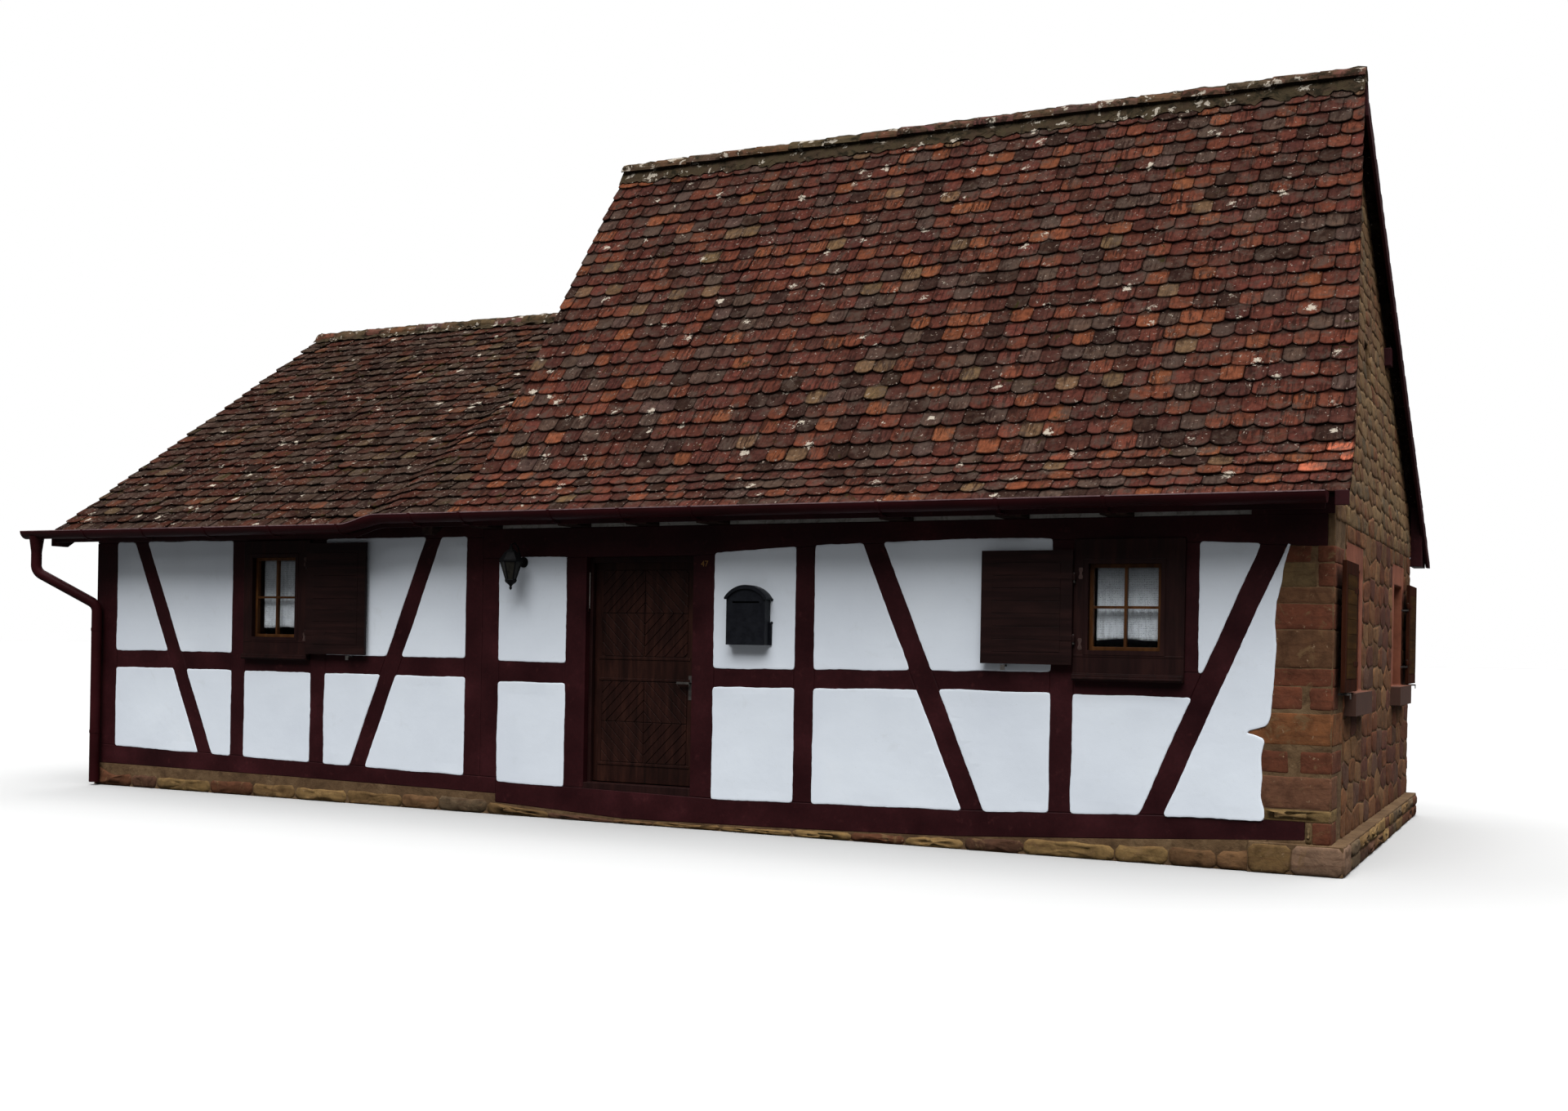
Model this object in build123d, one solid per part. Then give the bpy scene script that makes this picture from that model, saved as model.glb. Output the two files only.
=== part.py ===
from build123d import *
from math import cos, radians, sin, tan
import os

# A small half timbered house with one stone gable and a lower roof on its left part.
# Millimetres. While it is drawn, X runs along the front, with 0 at the stone corner and
# negative values to the left, Y runs into the depth from the front face, and Z = 0 is the
# lowest ground. At the end it is moved so that the origin is under the middle of the house.

# House outline
HOUSE_LENGTH = 11920
MAIN_LENGTH = 7150
HOUSE_DEPTH = 5060
TIMBER_DEPTH = 160
PANEL_RECESS = 6
PANEL_THICKNESS = 138

# Stone gable
GABLE_THICKNESS = 550
QUOIN_RETURN = 420
QUOIN_RETURN_TOP = 300
GABLE_LEAN = 300

# Roofs. The main front slope has a flatter foot, on sprockets over the rafters
MAIN_PITCH = 54.5
REAR_PITCH = 52.6
FOOT_PITCH = 40
FOOT_RUN = 470
LEFT_PITCH = 34.5
MAIN_EAVE_Z = 2610
LEFT_EAVE_Z = 2530
FRONT_OVERHANG = 330
REAR_OVERHANG = 390
TILE_LAYER = 60
VERGE_OVERHANG = 130
MIDDLE_VERGE_OVERHANG = 180
LEFT_VERGE_OVERHANG = 280
RAFTER_WIDTH = 110
MAIN_RAFTER_DEPTH = 130
LEFT_RAFTER_DEPTH = 100
RAFTER_TAIL = 240
LEFT_TAIL_SOFFIT = 2430
RIDGE_RADIUS = 115
RIDGE_CREST = 36
VERGE_BOARD = 28
VERGE_BOARD_HEIGHT = 170
VERGE_FOOT = 60
VERGE_SHOE_WIDTH = 90
PURLIN_WIDTH = 140
PURLIN_HEIGHT = 160
PURLIN_FROM_RIDGE = 1290
PURLIN_PROUD = 70

# Where the lower eave sweeps up to the main eave, as distance from the seam of the two parts
EAVE_SWEEP_START = 1210
EAVE_SWEEP_END = 810

# Heights of the timber frame
FLOOR_TOP = 280
FLOOR_THICKNESS = 150
PLINTH_WIDTH = 400
PLINTH_CORNER_PROUD = 90
PLINTH_CORNER_TOP = 210
FOOTING_FRONT_PROUD = 30
LEFT_PLATE_BOTTOM = 2420
LEFT_PLATE_TOP = 2600
MAIN_PLATE_TOP = 2490
REAR_PLATE_HEIGHT = 200
JOIST_HEIGHT = 180
JOIST_WIDTH = 200
JOIST_END = 205
REAR_SILL_BOTTOM = 150
REAR_SILL_TOP = 340
RAIL_HEIGHT = 180
LEFT_RAIL_BOTTOM = 1180
REAR_RAIL_BOTTOM = 1180
BEAM_LAP = 60

# Crooked edges of the front beams, as distance from the stone corner and height
LEFT_SILL_BOTTOM = [(11920, 220), (9400, 205), (6980, 180)]
LEFT_SILL_TOP = [(11920, 410), (9400, 360), (6980, 320)]
MAIN_SILL_BOTTOM = [(6980, 105), (5650, 40), (4200, 60), (2800, 90), (1500, 160), (170, 240)]
MAIN_SILL_TOP = [(6980, 290), (4800, 260), (2600, 300), (1500, 340), (170, 385)]
MAIN_PLATE_BOTTOM = [(6980, 2235), (5030, 2240), (3900, 2310), (2400, 2345), (900, 2300), (50, 2260)]
MAIN_RAIL_BOTTOM = [(7150, 1150), (4500, 1165), (2700, 1200), (420, 1185)]
MAIN_RAIL_TOP = [(7150, 1345), (4500, 1325), (2700, 1355), (420, 1380)]
SILL_JOINT_FROM_SEAM = 170
SILL_END_FROM_CORNER = 170
PLATE_END_FROM_CORNER = 50

# Posts of the front, as distance from the stone corner to the middle, and width
POST_WIDTH = 180
CORNER_POST_WIDTH = 290
SEAM_POST_WIDTH = 185
BRACE_WIDTH = 190
MIDDLE_POST_FROM_CORNER = 4010
RIGHT_WINDOW_POST_WIDTH = 100

# Middles of the braces at the plate and at the sill, as distance from the place that each leans on
LEFT_CORNER_BRACE = (615, 1500)
SEAM_BRACE = (545, 1380)
MIDDLE_POST_BRACE = (580, 1425)
STONE_CORNER_BRACE = (410, 1230)
REAR_CORNER_BRACE = (600, 1430)
END_WALL_BRACE = (400, 1250)
END_WALL_POST_SHIFT = 700

# Joists whose ends show, joists that stop behind the infill, and joists of the lower part
SHOWN_JOISTS_FROM_CORNER = [6135, 5465, 4800, 3200, 2275, 1490]
HIDDEN_JOISTS_FROM_CORNER = [3980, 680]
SEAM_JOIST_INSET = 100
LEFT_JOISTS_FROM_END = [340, 1130, 1930, 2730, 3530, 4340]

# Door
DOOR_FROM_CORNER = 5550
DOOR_WAY = 1040
DOOR_POST_WIDTH = 205
DOOR_LEAF_RECESS = 110
DOOR_LEAF_THICKNESS = 45
DOOR_STOP = 32
DOOR_STOP_RECESS = 60
DOOR_STOP_GAP = 6
DOOR_CLEARANCE = 8
THRESHOLD_TOP = 328
DOOR_HEAD = 2232
DOOR_PIN_RADIUS = 8
DOOR_PIN_OFFSET = 26
DOOR_HINGE_LOW = 640
DOOR_HINGE_HIGH = 1960
DOOR_STILE = 95
DOOR_BOTTOM_RAIL = 170
DOOR_MIDDLE_RAIL_BOTTOM = 1190
DOOR_MIDDLE_RAIL_TOP = 1400
DOOR_PANEL_RECESS = 6
DOOR_TAB = 14
HANDLE_HEIGHT = 1190
HANDLE_INSET = 60
HANDLE_PLATE_WIDTH = 40
HANDLE_PLATE_LOW = 140
HANDLE_PLATE_HIGH = 60
HANDLE_PLATE_THICKNESS = 5
HANDLE_REACH = 50
HANDLE_LENGTH = 110
HANDLE_BAR = 18

# Windows of the front
LEFT_WINDOW_FROM_CORNER = 9515
RIGHT_WINDOW_FROM_CORNER = 1415
WINDOW_BAY = 810
CASING_PROUD = 30
CASING_BOTTOM = 1300
CASING_PLATE_GAP = 5
RIGHT_CASING_TOP = 2330
CASING_RIM_WIDTH = 34
CASING_RIM_PROUD = 6
SASH_WIDTH = 530
LEFT_SASH_BOTTOM = 1510
LEFT_SASH_TOP = 2260
RIGHT_SASH_BOTTOM = 1520
RIGHT_SASH_TOP = 2150
SASH_SHIFT = 30
SASH_FRAME = 28
SASH_BAR = 20
SASH_THICKNESS = 36
SASH_RECESS = 12
GLASS_THICKNESS = 4
CURTAIN_THICKNESS = 12
CURTAIN_GAP = 30
CURTAIN_SHARE_BARE = 0.16
SILL_BOARD_PROUD = 58
SILL_BOARD_HEIGHT = 45

# Shutters
SHUTTER_THICKNESS = 28
SHUTTER_STANDOFF = 42
SHUTTER_WIDTH = 700
GABLE_SHUTTER_WIDTH = 650
RIGHT_SHUTTER_BOTTOM = 1410
RIGHT_SHUTTER_TOP = 2250
LEFT_SHUTTER_BOTTOM = 1360
LEFT_SHUTTER_TOP = 2385
SHUTTER_FRAME = 90
SHUTTER_PANEL_RECESS = 6
HINGE_INSET = 170
PIN_RADIUS = 6
PIN_CLEARANCE = 0.3
EYE_WALL = 7
EYE_HEIGHT = 50
STRAP_SHARE = 0.35
STRAP_THICKNESS = 4
STRAP_INSET = 8
LEAF_FROM_AXIS = 8
PIN_BELOW_EYE = 20
PIN_ABOVE_EYE = 4
PIN_ARM_HEIGHT = 14
AXIS_INSET = 10
HOLDER_SHARE = 0.75
HOLDER_GAP = 8
HOLDER_WIDTH = 34
HOLDER_HEIGHT = 40
HOLDER_THICKNESS = 6
HOLDER_STEM = 12

# Gable windows and attic slot
FRONT_GABLE_WINDOW_Y = 1030
REAR_GABLE_WINDOW_Y = 4030
GABLE_WINDOW_WIDTH = 620
GABLE_WINDOW_BOTTOM = 1250
GABLE_WINDOW_TOP = 2150
SURROUND_JAMB = 165
SURROUND_LINTEL = 180
SURROUND_SILL = 170
SURROUND_DEPTH = 200
SURROUND_SILL_PROUD = 85
GABLE_SASH_RECESS = 110
GABLE_SHUTTER_CLEARANCE = 10
GABLE_SHUTTER_LAP = 20
ATTIC_SLOT_Y = 2400
ATTIC_SLOT_WIDTH = 300
ATTIC_SLOT_BOTTOM = 3770
ATTIC_SLOT_HEIGHT = 310

# Gutter and downpipe
GUTTER_RADIUS = 78
GUTTER_WALL = 4
GUTTER_GAP = 10
GUTTER_LEFT_TOP = 2520
GUTTER_MAIN_TOP = 2600
GUTTER_PAST_VERGE = 250
GUTTER_BEND_RADIUS = 250
BRACKET_WIDTH = 30
BRACKET_THICKNESS = 5
BRACKET_BAR = 8
BRACKET_SLIT = 1
PIPE_RADIUS = 50
PIPE_WALL = 3
PIPE_FROM_LEFT_END = 70
PIPE_STANDOFF = 12
PIPE_ELBOW_RADIUS = 110
PIPE_FOOT = 30
FUNNEL_LENGTH = 130
FUNNEL_LAP = 30
FUNNEL_FLARE = 22
OUTLET_FROM_GUTTER_END = 150
PIPE_DIAGONAL_TOP = 2120
PIPE_DIAGONAL_BOTTOM = 1800
CLIP_HEIGHT = 30
CLIP_WALL = 4
CLIP_STUB = 16
CLIP_HEIGHTS = (520, 1540)

# Wall fittings
LANTERN_FROM_CORNER = 6820
LANTERN_HEIGHT = 2190
LANTERN_REACH = 142
LANTERN_PLATE = (44, 120, 10)
LANTERN_ARM = 14
LANTERN_CAGE_TOP = 55
LANTERN_CAGE_BOTTOM = 32
LANTERN_CAGE_HEIGHT = 120
LANTERN_ROOF = 66
LANTERN_ROOF_HEIGHT = 52
LANTERN_FOOT_HEIGHT = 24
LANTERN_ROD = 5
MAILBOX_FROM_CORNER = 4490
MAILBOX_BOTTOM = 1515
MAILBOX_WIDTH = 350
MAILBOX_SHOULDER = 1895
MAILBOX_CROWN = 1980
MAILBOX_DEPTH = 105
MAILBOX_HOOD_PROUD = 15
MAILBOX_APRON_WIDTH = 388
MAILBOX_APRON_TOP = 1695
MAILBOX_APRON_DEPTH = 24
MAILBOX_SLOT_WIDTH = 240
MAILBOX_SLOT_HEIGHT = 16
MAILBOX_SLOT_DEPTH = 40
MAILBOX_KNOB = 11

NODES = {}
MARKS = {}


# Small helpers

def block(x0, x1, y0, y1, z0, z1):
    """Box between two corners."""
    return Pos((x0 + x1) / 2, (y0 + y1) / 2, (z0 + z1) / 2) * Box(abs(x1 - x0), abs(y1 - y0), abs(z1 - z0))


def prism_y(points, y0, y1):
    """Solid with an outline in X and Z, from y0 to y1."""
    face = make_face(Polyline(*[(x, y0, z) for x, z in points], close=True))
    return extrude(face, amount=y1 - y0, dir=(0, 1, 0))


def prism_x(points, x0, x1):
    """Solid with an outline in Y and Z, from x0 to x1."""
    face = make_face(Polyline(*[(x0, y, z) for y, z in points], close=True))
    return extrude(face, amount=x1 - x0, dir=(1, 0, 0))


def upright(x, y, z0, z1, radius):
    """Round rod along Z."""
    return Pos(x, y, (z0 + z1) / 2) * Cylinder(radius, z1 - z0)


def cut(shape, others):
    """The shape without the others."""
    for other in others:
        shape = shape - other
    return shape


def fuse(shapes):
    """All shapes as one."""
    result = shapes[0]
    for shape in shapes[1:]:
        result = result + shape
    return result


def keep(name, *shapes):
    """Stores the solids of a sub-part under its name."""
    solids = []
    for shape in shapes:
        solids.extend(shape.solids())
    NODES[name] = Compound(children=solids) if len(solids) > 1 else solids[0]
    return NODES[name]


def edge_points(edge):
    """A crooked edge in drawing coordinates, from left to right."""
    return [(-distance, height) for distance, height in edge]


def level(edge, x):
    """Height of a crooked edge at x."""
    points = edge_points(edge)
    for (x0, z0), (x1, z1) in zip(points, points[1:]):
        if x <= x1:
            break
    return z0 + (z1 - z0) * (x - x0) / (x1 - x0)


def stretch(edge, x0, x1):
    """The points of a crooked edge from x0 to x1."""
    inner = [(x, z) for x, z in edge_points(edge) if x0 < x < x1]
    return [(x0, level(edge, x0))] + inner + [(x1, level(edge, x1))]


def flat(height):
    """Level edge, written as a crooked one."""
    return [(HOUSE_LENGTH, height), (0, height)]


def beam(bottom, top, x0, x1, y0=0, y1=TIMBER_DEPTH):
    """Crooked beam between two edges, from x0 to x1."""
    return prism_y(stretch(bottom, x0, x1) + stretch(top, x0, x1)[::-1], y0, y1)


def middle_of_sills():
    """Line inside the two front sills, from the left end to the quoins."""
    seats = [(LEFT_SILL_BOTTOM, LEFT_SILL_TOP, left_end, sill_joint),
             (MAIN_SILL_BOTTOM, MAIN_SILL_TOP, sill_joint, -QUOIN_RETURN)]
    line = []
    for bottom, top, x0, x1 in seats:
        stops = sorted({x for x, _ in stretch(bottom, x0, x1) + stretch(top, x0, x1)})
        line += [(x, (level(bottom, x) + level(top, x)) / 2) for x in stops]
    return line


# Places that several sub-parts share

left_end = -HOUSE_LENGTH
seam = -MAIN_LENGTH
sill_joint = seam + SILL_JOINT_FROM_SEAM
sill_right = -SILL_END_FROM_CORNER
plate_right = -PLATE_END_FROM_CORNER
sweep_start = seam - EAVE_SWEEP_START
sweep_end = seam - EAVE_SWEEP_END
ridge_y = HOUSE_DEPTH / 2
main_slope = tan(radians(MAIN_PITCH))
rear_slope = tan(radians(REAR_PITCH))
foot_slope = tan(radians(FOOT_PITCH))
left_slope = tan(radians(LEFT_PITCH))
bend_y = FOOT_RUN - FRONT_OVERHANG
bend_z = MAIN_EAVE_Z + FOOT_RUN * foot_slope
ridge_z = bend_z + (ridge_y - bend_y) * main_slope
rear_eave_y = HOUSE_DEPTH + REAR_OVERHANG
left_ridge_y = (ridge_z + ridge_y * rear_slope - LEFT_EAVE_Z - FRONT_OVERHANG * left_slope) / (
    rear_slope + left_slope)
rear_wall = HOUSE_DEPTH - TIMBER_DEPTH


def main_front_profile(y0=-FRONT_OVERHANG):
    """Top of the main roof's front slope from y0 up to the ridge, with the bend over its foot."""
    if y0 >= bend_y:
        return [(y0, bend_z + (y0 - bend_y) * main_slope), (ridge_y, ridge_z)]
    return [(y0, MAIN_EAVE_Z + (y0 + FRONT_OVERHANG) * foot_slope), (bend_y, bend_z), (ridge_y, ridge_z)]


def left_eave_z(x):
    """The lower eave is level and then sweeps up to the main eave."""
    share = min(max((x - sweep_start) / (sweep_end - sweep_start), 0), 1)
    return LEFT_EAVE_Z + (MAIN_EAVE_Z - LEFT_EAVE_Z) * share


def left_front_z(y, x=left_end):
    """Top of the lower roof's front slope, straight from the eave at x up to the ridge."""
    eave = left_eave_z(x)
    return eave + (y + FRONT_OVERHANG) * (left_ridge_z - eave) / (left_ridge_y + FRONT_OVERHANG)


def rear_z(y):
    """Top of the rear slope, which both parts share."""
    return ridge_z - (y - ridge_y) * rear_slope


def lowered(profile, drop):
    """A profile of points in Y and Z, moved down."""
    return [(y, z - drop) for y, z in profile]


left_ridge_z = rear_z(left_ridge_y)
rear_eave_z = rear_z(rear_eave_y)
main_tile_drop = TILE_LAYER / cos(radians(REAR_PITCH))
left_tile_drop = TILE_LAYER / cos(radians(LEFT_PITCH))
main_rafter_drop = MAIN_RAFTER_DEPTH / cos(radians(REAR_PITCH))
left_rafter_drop = LEFT_RAFTER_DEPTH / cos(radians(LEFT_PITCH))
joist_top = MAIN_PLATE_TOP + JOIST_HEIGHT
lean = GABLE_LEAN / (ridge_z - MAIN_EAVE_Z)


def verge_x(z):
    """The right verge leans inwards with the stone gable."""
    return VERGE_OVERHANG - (z - MAIN_EAVE_Z) * lean


def verge_slice(from_x, inset=0):
    """Everything between from_x and the leaning right verge."""
    low, high = 0, ridge_z + RIDGE_RADIUS
    outline = [(from_x, low), (verge_x(low) - inset, low), (verge_x(high) - inset, high), (from_x, high)]
    return prism_y(outline, -2 * FRONT_OVERHANG, rear_eave_y + REAR_OVERHANG)


# Front timber frame

def post(x_middle, width, sill_top, plate_bottom, y0=0, y1=TIMBER_DEPTH):
    """Upright that reaches into the beams above and below, where it is cut to them."""
    return block(x_middle - width / 2, x_middle + width / 2, y0, y1, level(sill_top, x_middle) - BEAM_LAP,
                 level(plate_bottom, x_middle) + BEAM_LAP)


def brace(x_top, x_bottom, sill_top, plate_bottom, y0=0, y1=TIMBER_DEPTH):
    """Slanted timber whose ends reach into the beams above and below, where they are cut."""
    half = BRACE_WIDTH / 2
    high, low = level(plate_bottom, x_top), level(sill_top, x_bottom)
    lap = BEAM_LAP * (x_top - x_bottom) / (high - low)
    foot, head = x_bottom - lap, x_top + lap
    return prism_y([(foot - half, low - BEAM_LAP), (foot + half, low - BEAM_LAP),
                    (head + half, high + BEAM_LAP), (head - half, high + BEAM_LAP)], y0, y1)


def window_post_middles(window):
    """Middles of the posts on both sides of a window."""
    away = WINDOW_BAY / 2 + POST_WIDTH / 2
    return window - away, window + away


def brace_places(stone_corner_brace):
    """Top and bottom of the four braces of a long wall."""
    return [(left_end + LEFT_CORNER_BRACE[0], left_end + LEFT_CORNER_BRACE[1]),
            (seam - SEAM_BRACE[0], seam - SEAM_BRACE[1]),
            (MIDDLE_POST_BRACE[0] - MIDDLE_POST_FROM_CORNER, MIDDLE_POST_BRACE[1] - MIDDLE_POST_FROM_CORNER),
            (-stone_corner_brace[0], -stone_corner_brace[1])]


def front_frame():
    left_sill = beam(LEFT_SILL_BOTTOM, LEFT_SILL_TOP, left_end, sill_joint)
    main_sill = beam(MAIN_SILL_BOTTOM, MAIN_SILL_TOP, sill_joint, sill_right)
    left_plate = beam(flat(LEFT_PLATE_BOTTOM), flat(LEFT_PLATE_TOP), left_end, seam)
    main_plate = beam(MAIN_PLATE_BOTTOM, flat(MAIN_PLATE_TOP), seam, plate_right)
    beams = [left_sill, main_sill, left_plate, main_plate]

    left_window, right_window = window_middles["left"], window_middles["right"]
    left_seats = (LEFT_SILL_TOP, flat(LEFT_PLATE_BOTTOM))
    left_posts = [post(left_end + CORNER_POST_WIDTH / 2, CORNER_POST_WIDTH, *left_seats)]
    left_posts += [post(x, POST_WIDTH, *left_seats) for x in window_post_middles(left_window)]
    left_posts.append(post(seam - SEAM_POST_WIDTH / 2, SEAM_POST_WIDTH, *left_seats))

    door_side = DOOR_WAY / 2 + DOOR_POST_WIDTH / 2
    main_seats = (MAIN_SILL_TOP, MAIN_PLATE_BOTTOM)
    door_posts = [post(x, DOOR_POST_WIDTH, *main_seats)
                  for x in (-DOOR_FROM_CORNER - door_side, -DOOR_FROM_CORNER + door_side)]
    seam_post = post(seam + SEAM_POST_WIDTH / 2, SEAM_POST_WIDTH, *main_seats)
    main_posts = [cut(seam_post, door_posts)] + door_posts
    main_posts.append(post(-MIDDLE_POST_FROM_CORNER, POST_WIDTH, *main_seats))
    main_posts.append(post(window_post_middles(right_window)[0], POST_WIDTH, *main_seats))
    thin_middle = right_window + WINDOW_BAY / 2 + RIGHT_WINDOW_POST_WIDTH / 2
    main_posts.append(post(thin_middle, RIGHT_WINDOW_POST_WIDTH, MAIN_RAIL_TOP, MAIN_PLATE_BOTTOM))

    places = brace_places(STONE_CORNER_BRACE)
    braces = [brace(top, bottom, *left_seats) for top, bottom in places[:2]]
    braces += [brace(top, bottom, *main_seats) for top, bottom in places[2:]]

    left_rail = beam(flat(LEFT_RAIL_BOTTOM), flat(LEFT_RAIL_BOTTOM + RAIL_HEIGHT), left_end, seam)
    main_rail = beam(MAIN_RAIL_BOTTOM, MAIN_RAIL_TOP, seam, -QUOIN_RETURN)
    doorway = block(-DOOR_FROM_CORNER - DOOR_WAY / 2, -DOOR_FROM_CORNER + DOOR_WAY / 2, 0, TIMBER_DEPTH,
                    0, MAIN_PLATE_TOP)
    main_posts[-1] = main_posts[-1] - main_rail
    left_posts = [cut(each, beams) for each in left_posts]
    main_posts = [cut(each, beams) for each in main_posts]
    posts = left_posts + main_posts
    braces = [cut(each, beams + posts + window_bays) for each in braces]
    rails = [cut(left_rail, posts + braces), cut(main_rail, posts + braces + [doorway])]
    return beams, left_posts, main_posts, braces, rails, doorway


window_middles = {"left": -LEFT_WINDOW_FROM_CORNER, "right": -RIGHT_WINDOW_FROM_CORNER}
window_bays = [block(x - WINDOW_BAY / 2, x + WINDOW_BAY / 2, 0, TIMBER_DEPTH, CASING_BOTTOM, MAIN_PLATE_TOP)
               for x in window_middles.values()]
beams, left_posts, main_posts, braces, rails, doorway = front_frame()
front_timbers = beams + left_posts + main_posts + braces + rails
keep("left_front_sill", beams[0])
keep("main_front_sill", beams[1])
keep("left_front_plate", beams[2])
keep("main_front_plate", beams[3])
keep("left_front_posts", *left_posts)
keep("main_front_posts", *main_posts)
keep("front_braces", *braces)
keep("front_rails", *rails)


# Stone gable

def gable_outline(drop):
    """Outline of a gable under the main roof, whose top lies below the tiles by drop."""
    top = lowered(main_front_profile(0) + [(HOUSE_DEPTH, rear_z(HOUSE_DEPTH))], drop)
    return [(HOUSE_DEPTH, 0), (0, 0)] + top


def gable_wall():
    wall = prism_x(gable_outline(main_tile_drop), -GABLE_THICKNESS, 0)
    returns = prism_y([(-GABLE_THICKNESS, 0), (-QUOIN_RETURN, 0), (-QUOIN_RETURN, MAIN_SILL_TOP[-1][1]),
                       (-QUOIN_RETURN_TOP, MAIN_PLATE_TOP), (-GABLE_THICKNESS, MAIN_PLATE_TOP)],
                      0, TIMBER_DEPTH)
    rear_return = block(-GABLE_THICKNESS, -QUOIN_RETURN, rear_wall, HOUSE_DEPTH, 0, MAIN_PLATE_TOP)
    outer = prism_y([(0, MAIN_EAVE_Z), (VERGE_OVERHANG, MAIN_EAVE_Z), (VERGE_OVERHANG, ridge_z),
                     (-GABLE_LEAN, ridge_z)], 0, HOUSE_DEPTH)
    footing = block(-GABLE_THICKNESS, PLINTH_CORNER_PROUD, -FOOTING_FRONT_PROUD, HOUSE_DEPTH, 0,
                    PLINTH_CORNER_TOP)
    wall = cut(wall, [returns, rear_return, outer]) + footing
    rear_sill = block(left_end, -QUOIN_RETURN, rear_wall, HOUSE_DEPTH, REAR_SILL_BOTTOM, REAR_SILL_TOP)
    wall = cut(wall, front_timbers + all_purlins + [rear_sill])
    for y in (FRONT_GABLE_WINDOW_Y, REAR_GABLE_WINDOW_Y):
        half = GABLE_WINDOW_WIDTH / 2
        wall = wall - block(-GABLE_THICKNESS, 0, y - half, y + half, GABLE_WINDOW_BOTTOM, GABLE_WINDOW_TOP)
        wall = wall - surround_outline(y)
    slot = ATTIC_SLOT_WIDTH / 2
    wall = wall - block(-GABLE_THICKNESS, 0, ATTIC_SLOT_Y - slot, ATTIC_SLOT_Y + slot, ATTIC_SLOT_BOTTOM,
                        ATTIC_SLOT_BOTTOM + ATTIC_SLOT_HEIGHT)
    return wall


def surround_outline(y):
    """Block of dressed stone round a gable window, with its sill standing out."""
    half = GABLE_WINDOW_WIDTH / 2 + SURROUND_JAMB
    low = GABLE_WINDOW_BOTTOM - SURROUND_SILL
    body = block(-SURROUND_DEPTH, 0, y - half, y + half, low, GABLE_WINDOW_TOP + SURROUND_LINTEL)
    sill = block(-SURROUND_DEPTH, SURROUND_SILL_PROUD, y - half, y + half, low, GABLE_WINDOW_BOTTOM)
    return body + sill


def surround(y):
    half = GABLE_WINDOW_WIDTH / 2
    return surround_outline(y) - block(-GABLE_THICKNESS, SURROUND_SILL_PROUD, y - half, y + half,
                                       GABLE_WINDOW_BOTTOM, GABLE_WINDOW_TOP)


def purlins():
    """Timbers under the rafters, whose ends show beyond the stone gable."""
    middle = PURLIN_FROM_RIDGE + PURLIN_WIDTH / 2
    half = PURLIN_WIDTH / 2
    timbers = []
    for y, slope in ((ridge_y - PURLIN_FROM_RIDGE, main_slope), (ridge_y + PURLIN_FROM_RIDGE, rear_slope)):
        top = ridge_z - middle * slope - main_tile_drop - main_rafter_drop
        x1 = verge_x(top) - VERGE_OVERHANG + PURLIN_PROUD
        timbers.append(block(seam + TIMBER_DEPTH, x1, y - half, y + half, top - PURLIN_HEIGHT, top))
    return timbers


all_purlins = purlins()
keep("purlins", *all_purlins)
stone = keep("gable_wall", gable_wall())
keep("gable_window_surrounds", surround(FRONT_GABLE_WINDOW_Y), surround(REAR_GABLE_WINDOW_Y))


# Plinth and floor

def plinth():
    """Rubble footing under the timber walls, down to the lowest ground."""
    base = FLOOR_TOP - FLOOR_THICKNESS
    front = block(left_end, -GABLE_THICKNESS, 0, PLINTH_WIDTH, 0, base)
    front = front + prism_y([(-QUOIN_RETURN, 0), (left_end, 0)] + middle_of_sills(), 0, TIMBER_DEPTH)
    rear = block(left_end, -GABLE_THICKNESS, HOUSE_DEPTH - PLINTH_WIDTH, HOUSE_DEPTH, 0, base)
    rear = rear + block(left_end, -QUOIN_RETURN, rear_wall, HOUSE_DEPTH, 0, REAR_SILL_BOTTOM)
    side = block(left_end, left_end + PLINTH_WIDTH, 0, HOUSE_DEPTH, 0, base)
    side = side + block(left_end, left_end + TIMBER_DEPTH, 0, HOUSE_DEPTH, 0, LEFT_SILL_BOTTOM[0][1])
    return front, rear, side


floor = block(left_end + TIMBER_DEPTH, -GABLE_THICKNESS, TIMBER_DEPTH, rear_wall,
              FLOOR_TOP - FLOOR_THICKNESS, FLOOR_TOP)
keep("floor", floor)


# Rear wall, which repeats the front's posts with plain bays

def rear_frame():
    sill_top, plate_bottom = flat(REAR_SILL_TOP), flat(MAIN_PLATE_TOP - REAR_PLATE_HEIGHT)
    x0, x1 = left_end, -QUOIN_RETURN
    depth = (rear_wall, HOUSE_DEPTH)
    sill = beam(flat(REAR_SILL_BOTTOM), sill_top, x0, x1, *depth)
    plate = beam(plate_bottom, flat(MAIN_PLATE_TOP), x0, x1, *depth)
    middles = [seam, -DOOR_FROM_CORNER, -MIDDLE_POST_FROM_CORNER]
    middles += window_post_middles(window_middles["left"])
    middles.append(window_post_middles(window_middles["right"])[0])
    posts = [post(left_end + CORNER_POST_WIDTH / 2, CORNER_POST_WIDTH, sill_top, plate_bottom, *depth)]
    posts += [post(x, POST_WIDTH, sill_top, plate_bottom, *depth) for x in middles]
    braces = [brace(top, bottom, sill_top, plate_bottom, *depth)
              for top, bottom in brace_places(REAR_CORNER_BRACE)]
    posts = [cut(each, [sill, plate]) for each in posts]
    braces = [cut(each, [sill, plate] + posts) for each in braces]
    rail = beam(flat(REAR_RAIL_BOTTOM), flat(REAR_RAIL_BOTTOM + RAIL_HEIGHT), x0, x1, *depth)
    rail = cut(rail, posts + braces)
    whole = beam(flat(REAR_SILL_TOP), plate_bottom, x0, x1, HOUSE_DEPTH - PANEL_RECESS - PANEL_THICKNESS,
                 HOUSE_DEPTH - PANEL_RECESS)
    panels = cut(whole, posts + braces + [rail])
    return sill, plate, rail, posts, braces, panels


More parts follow.
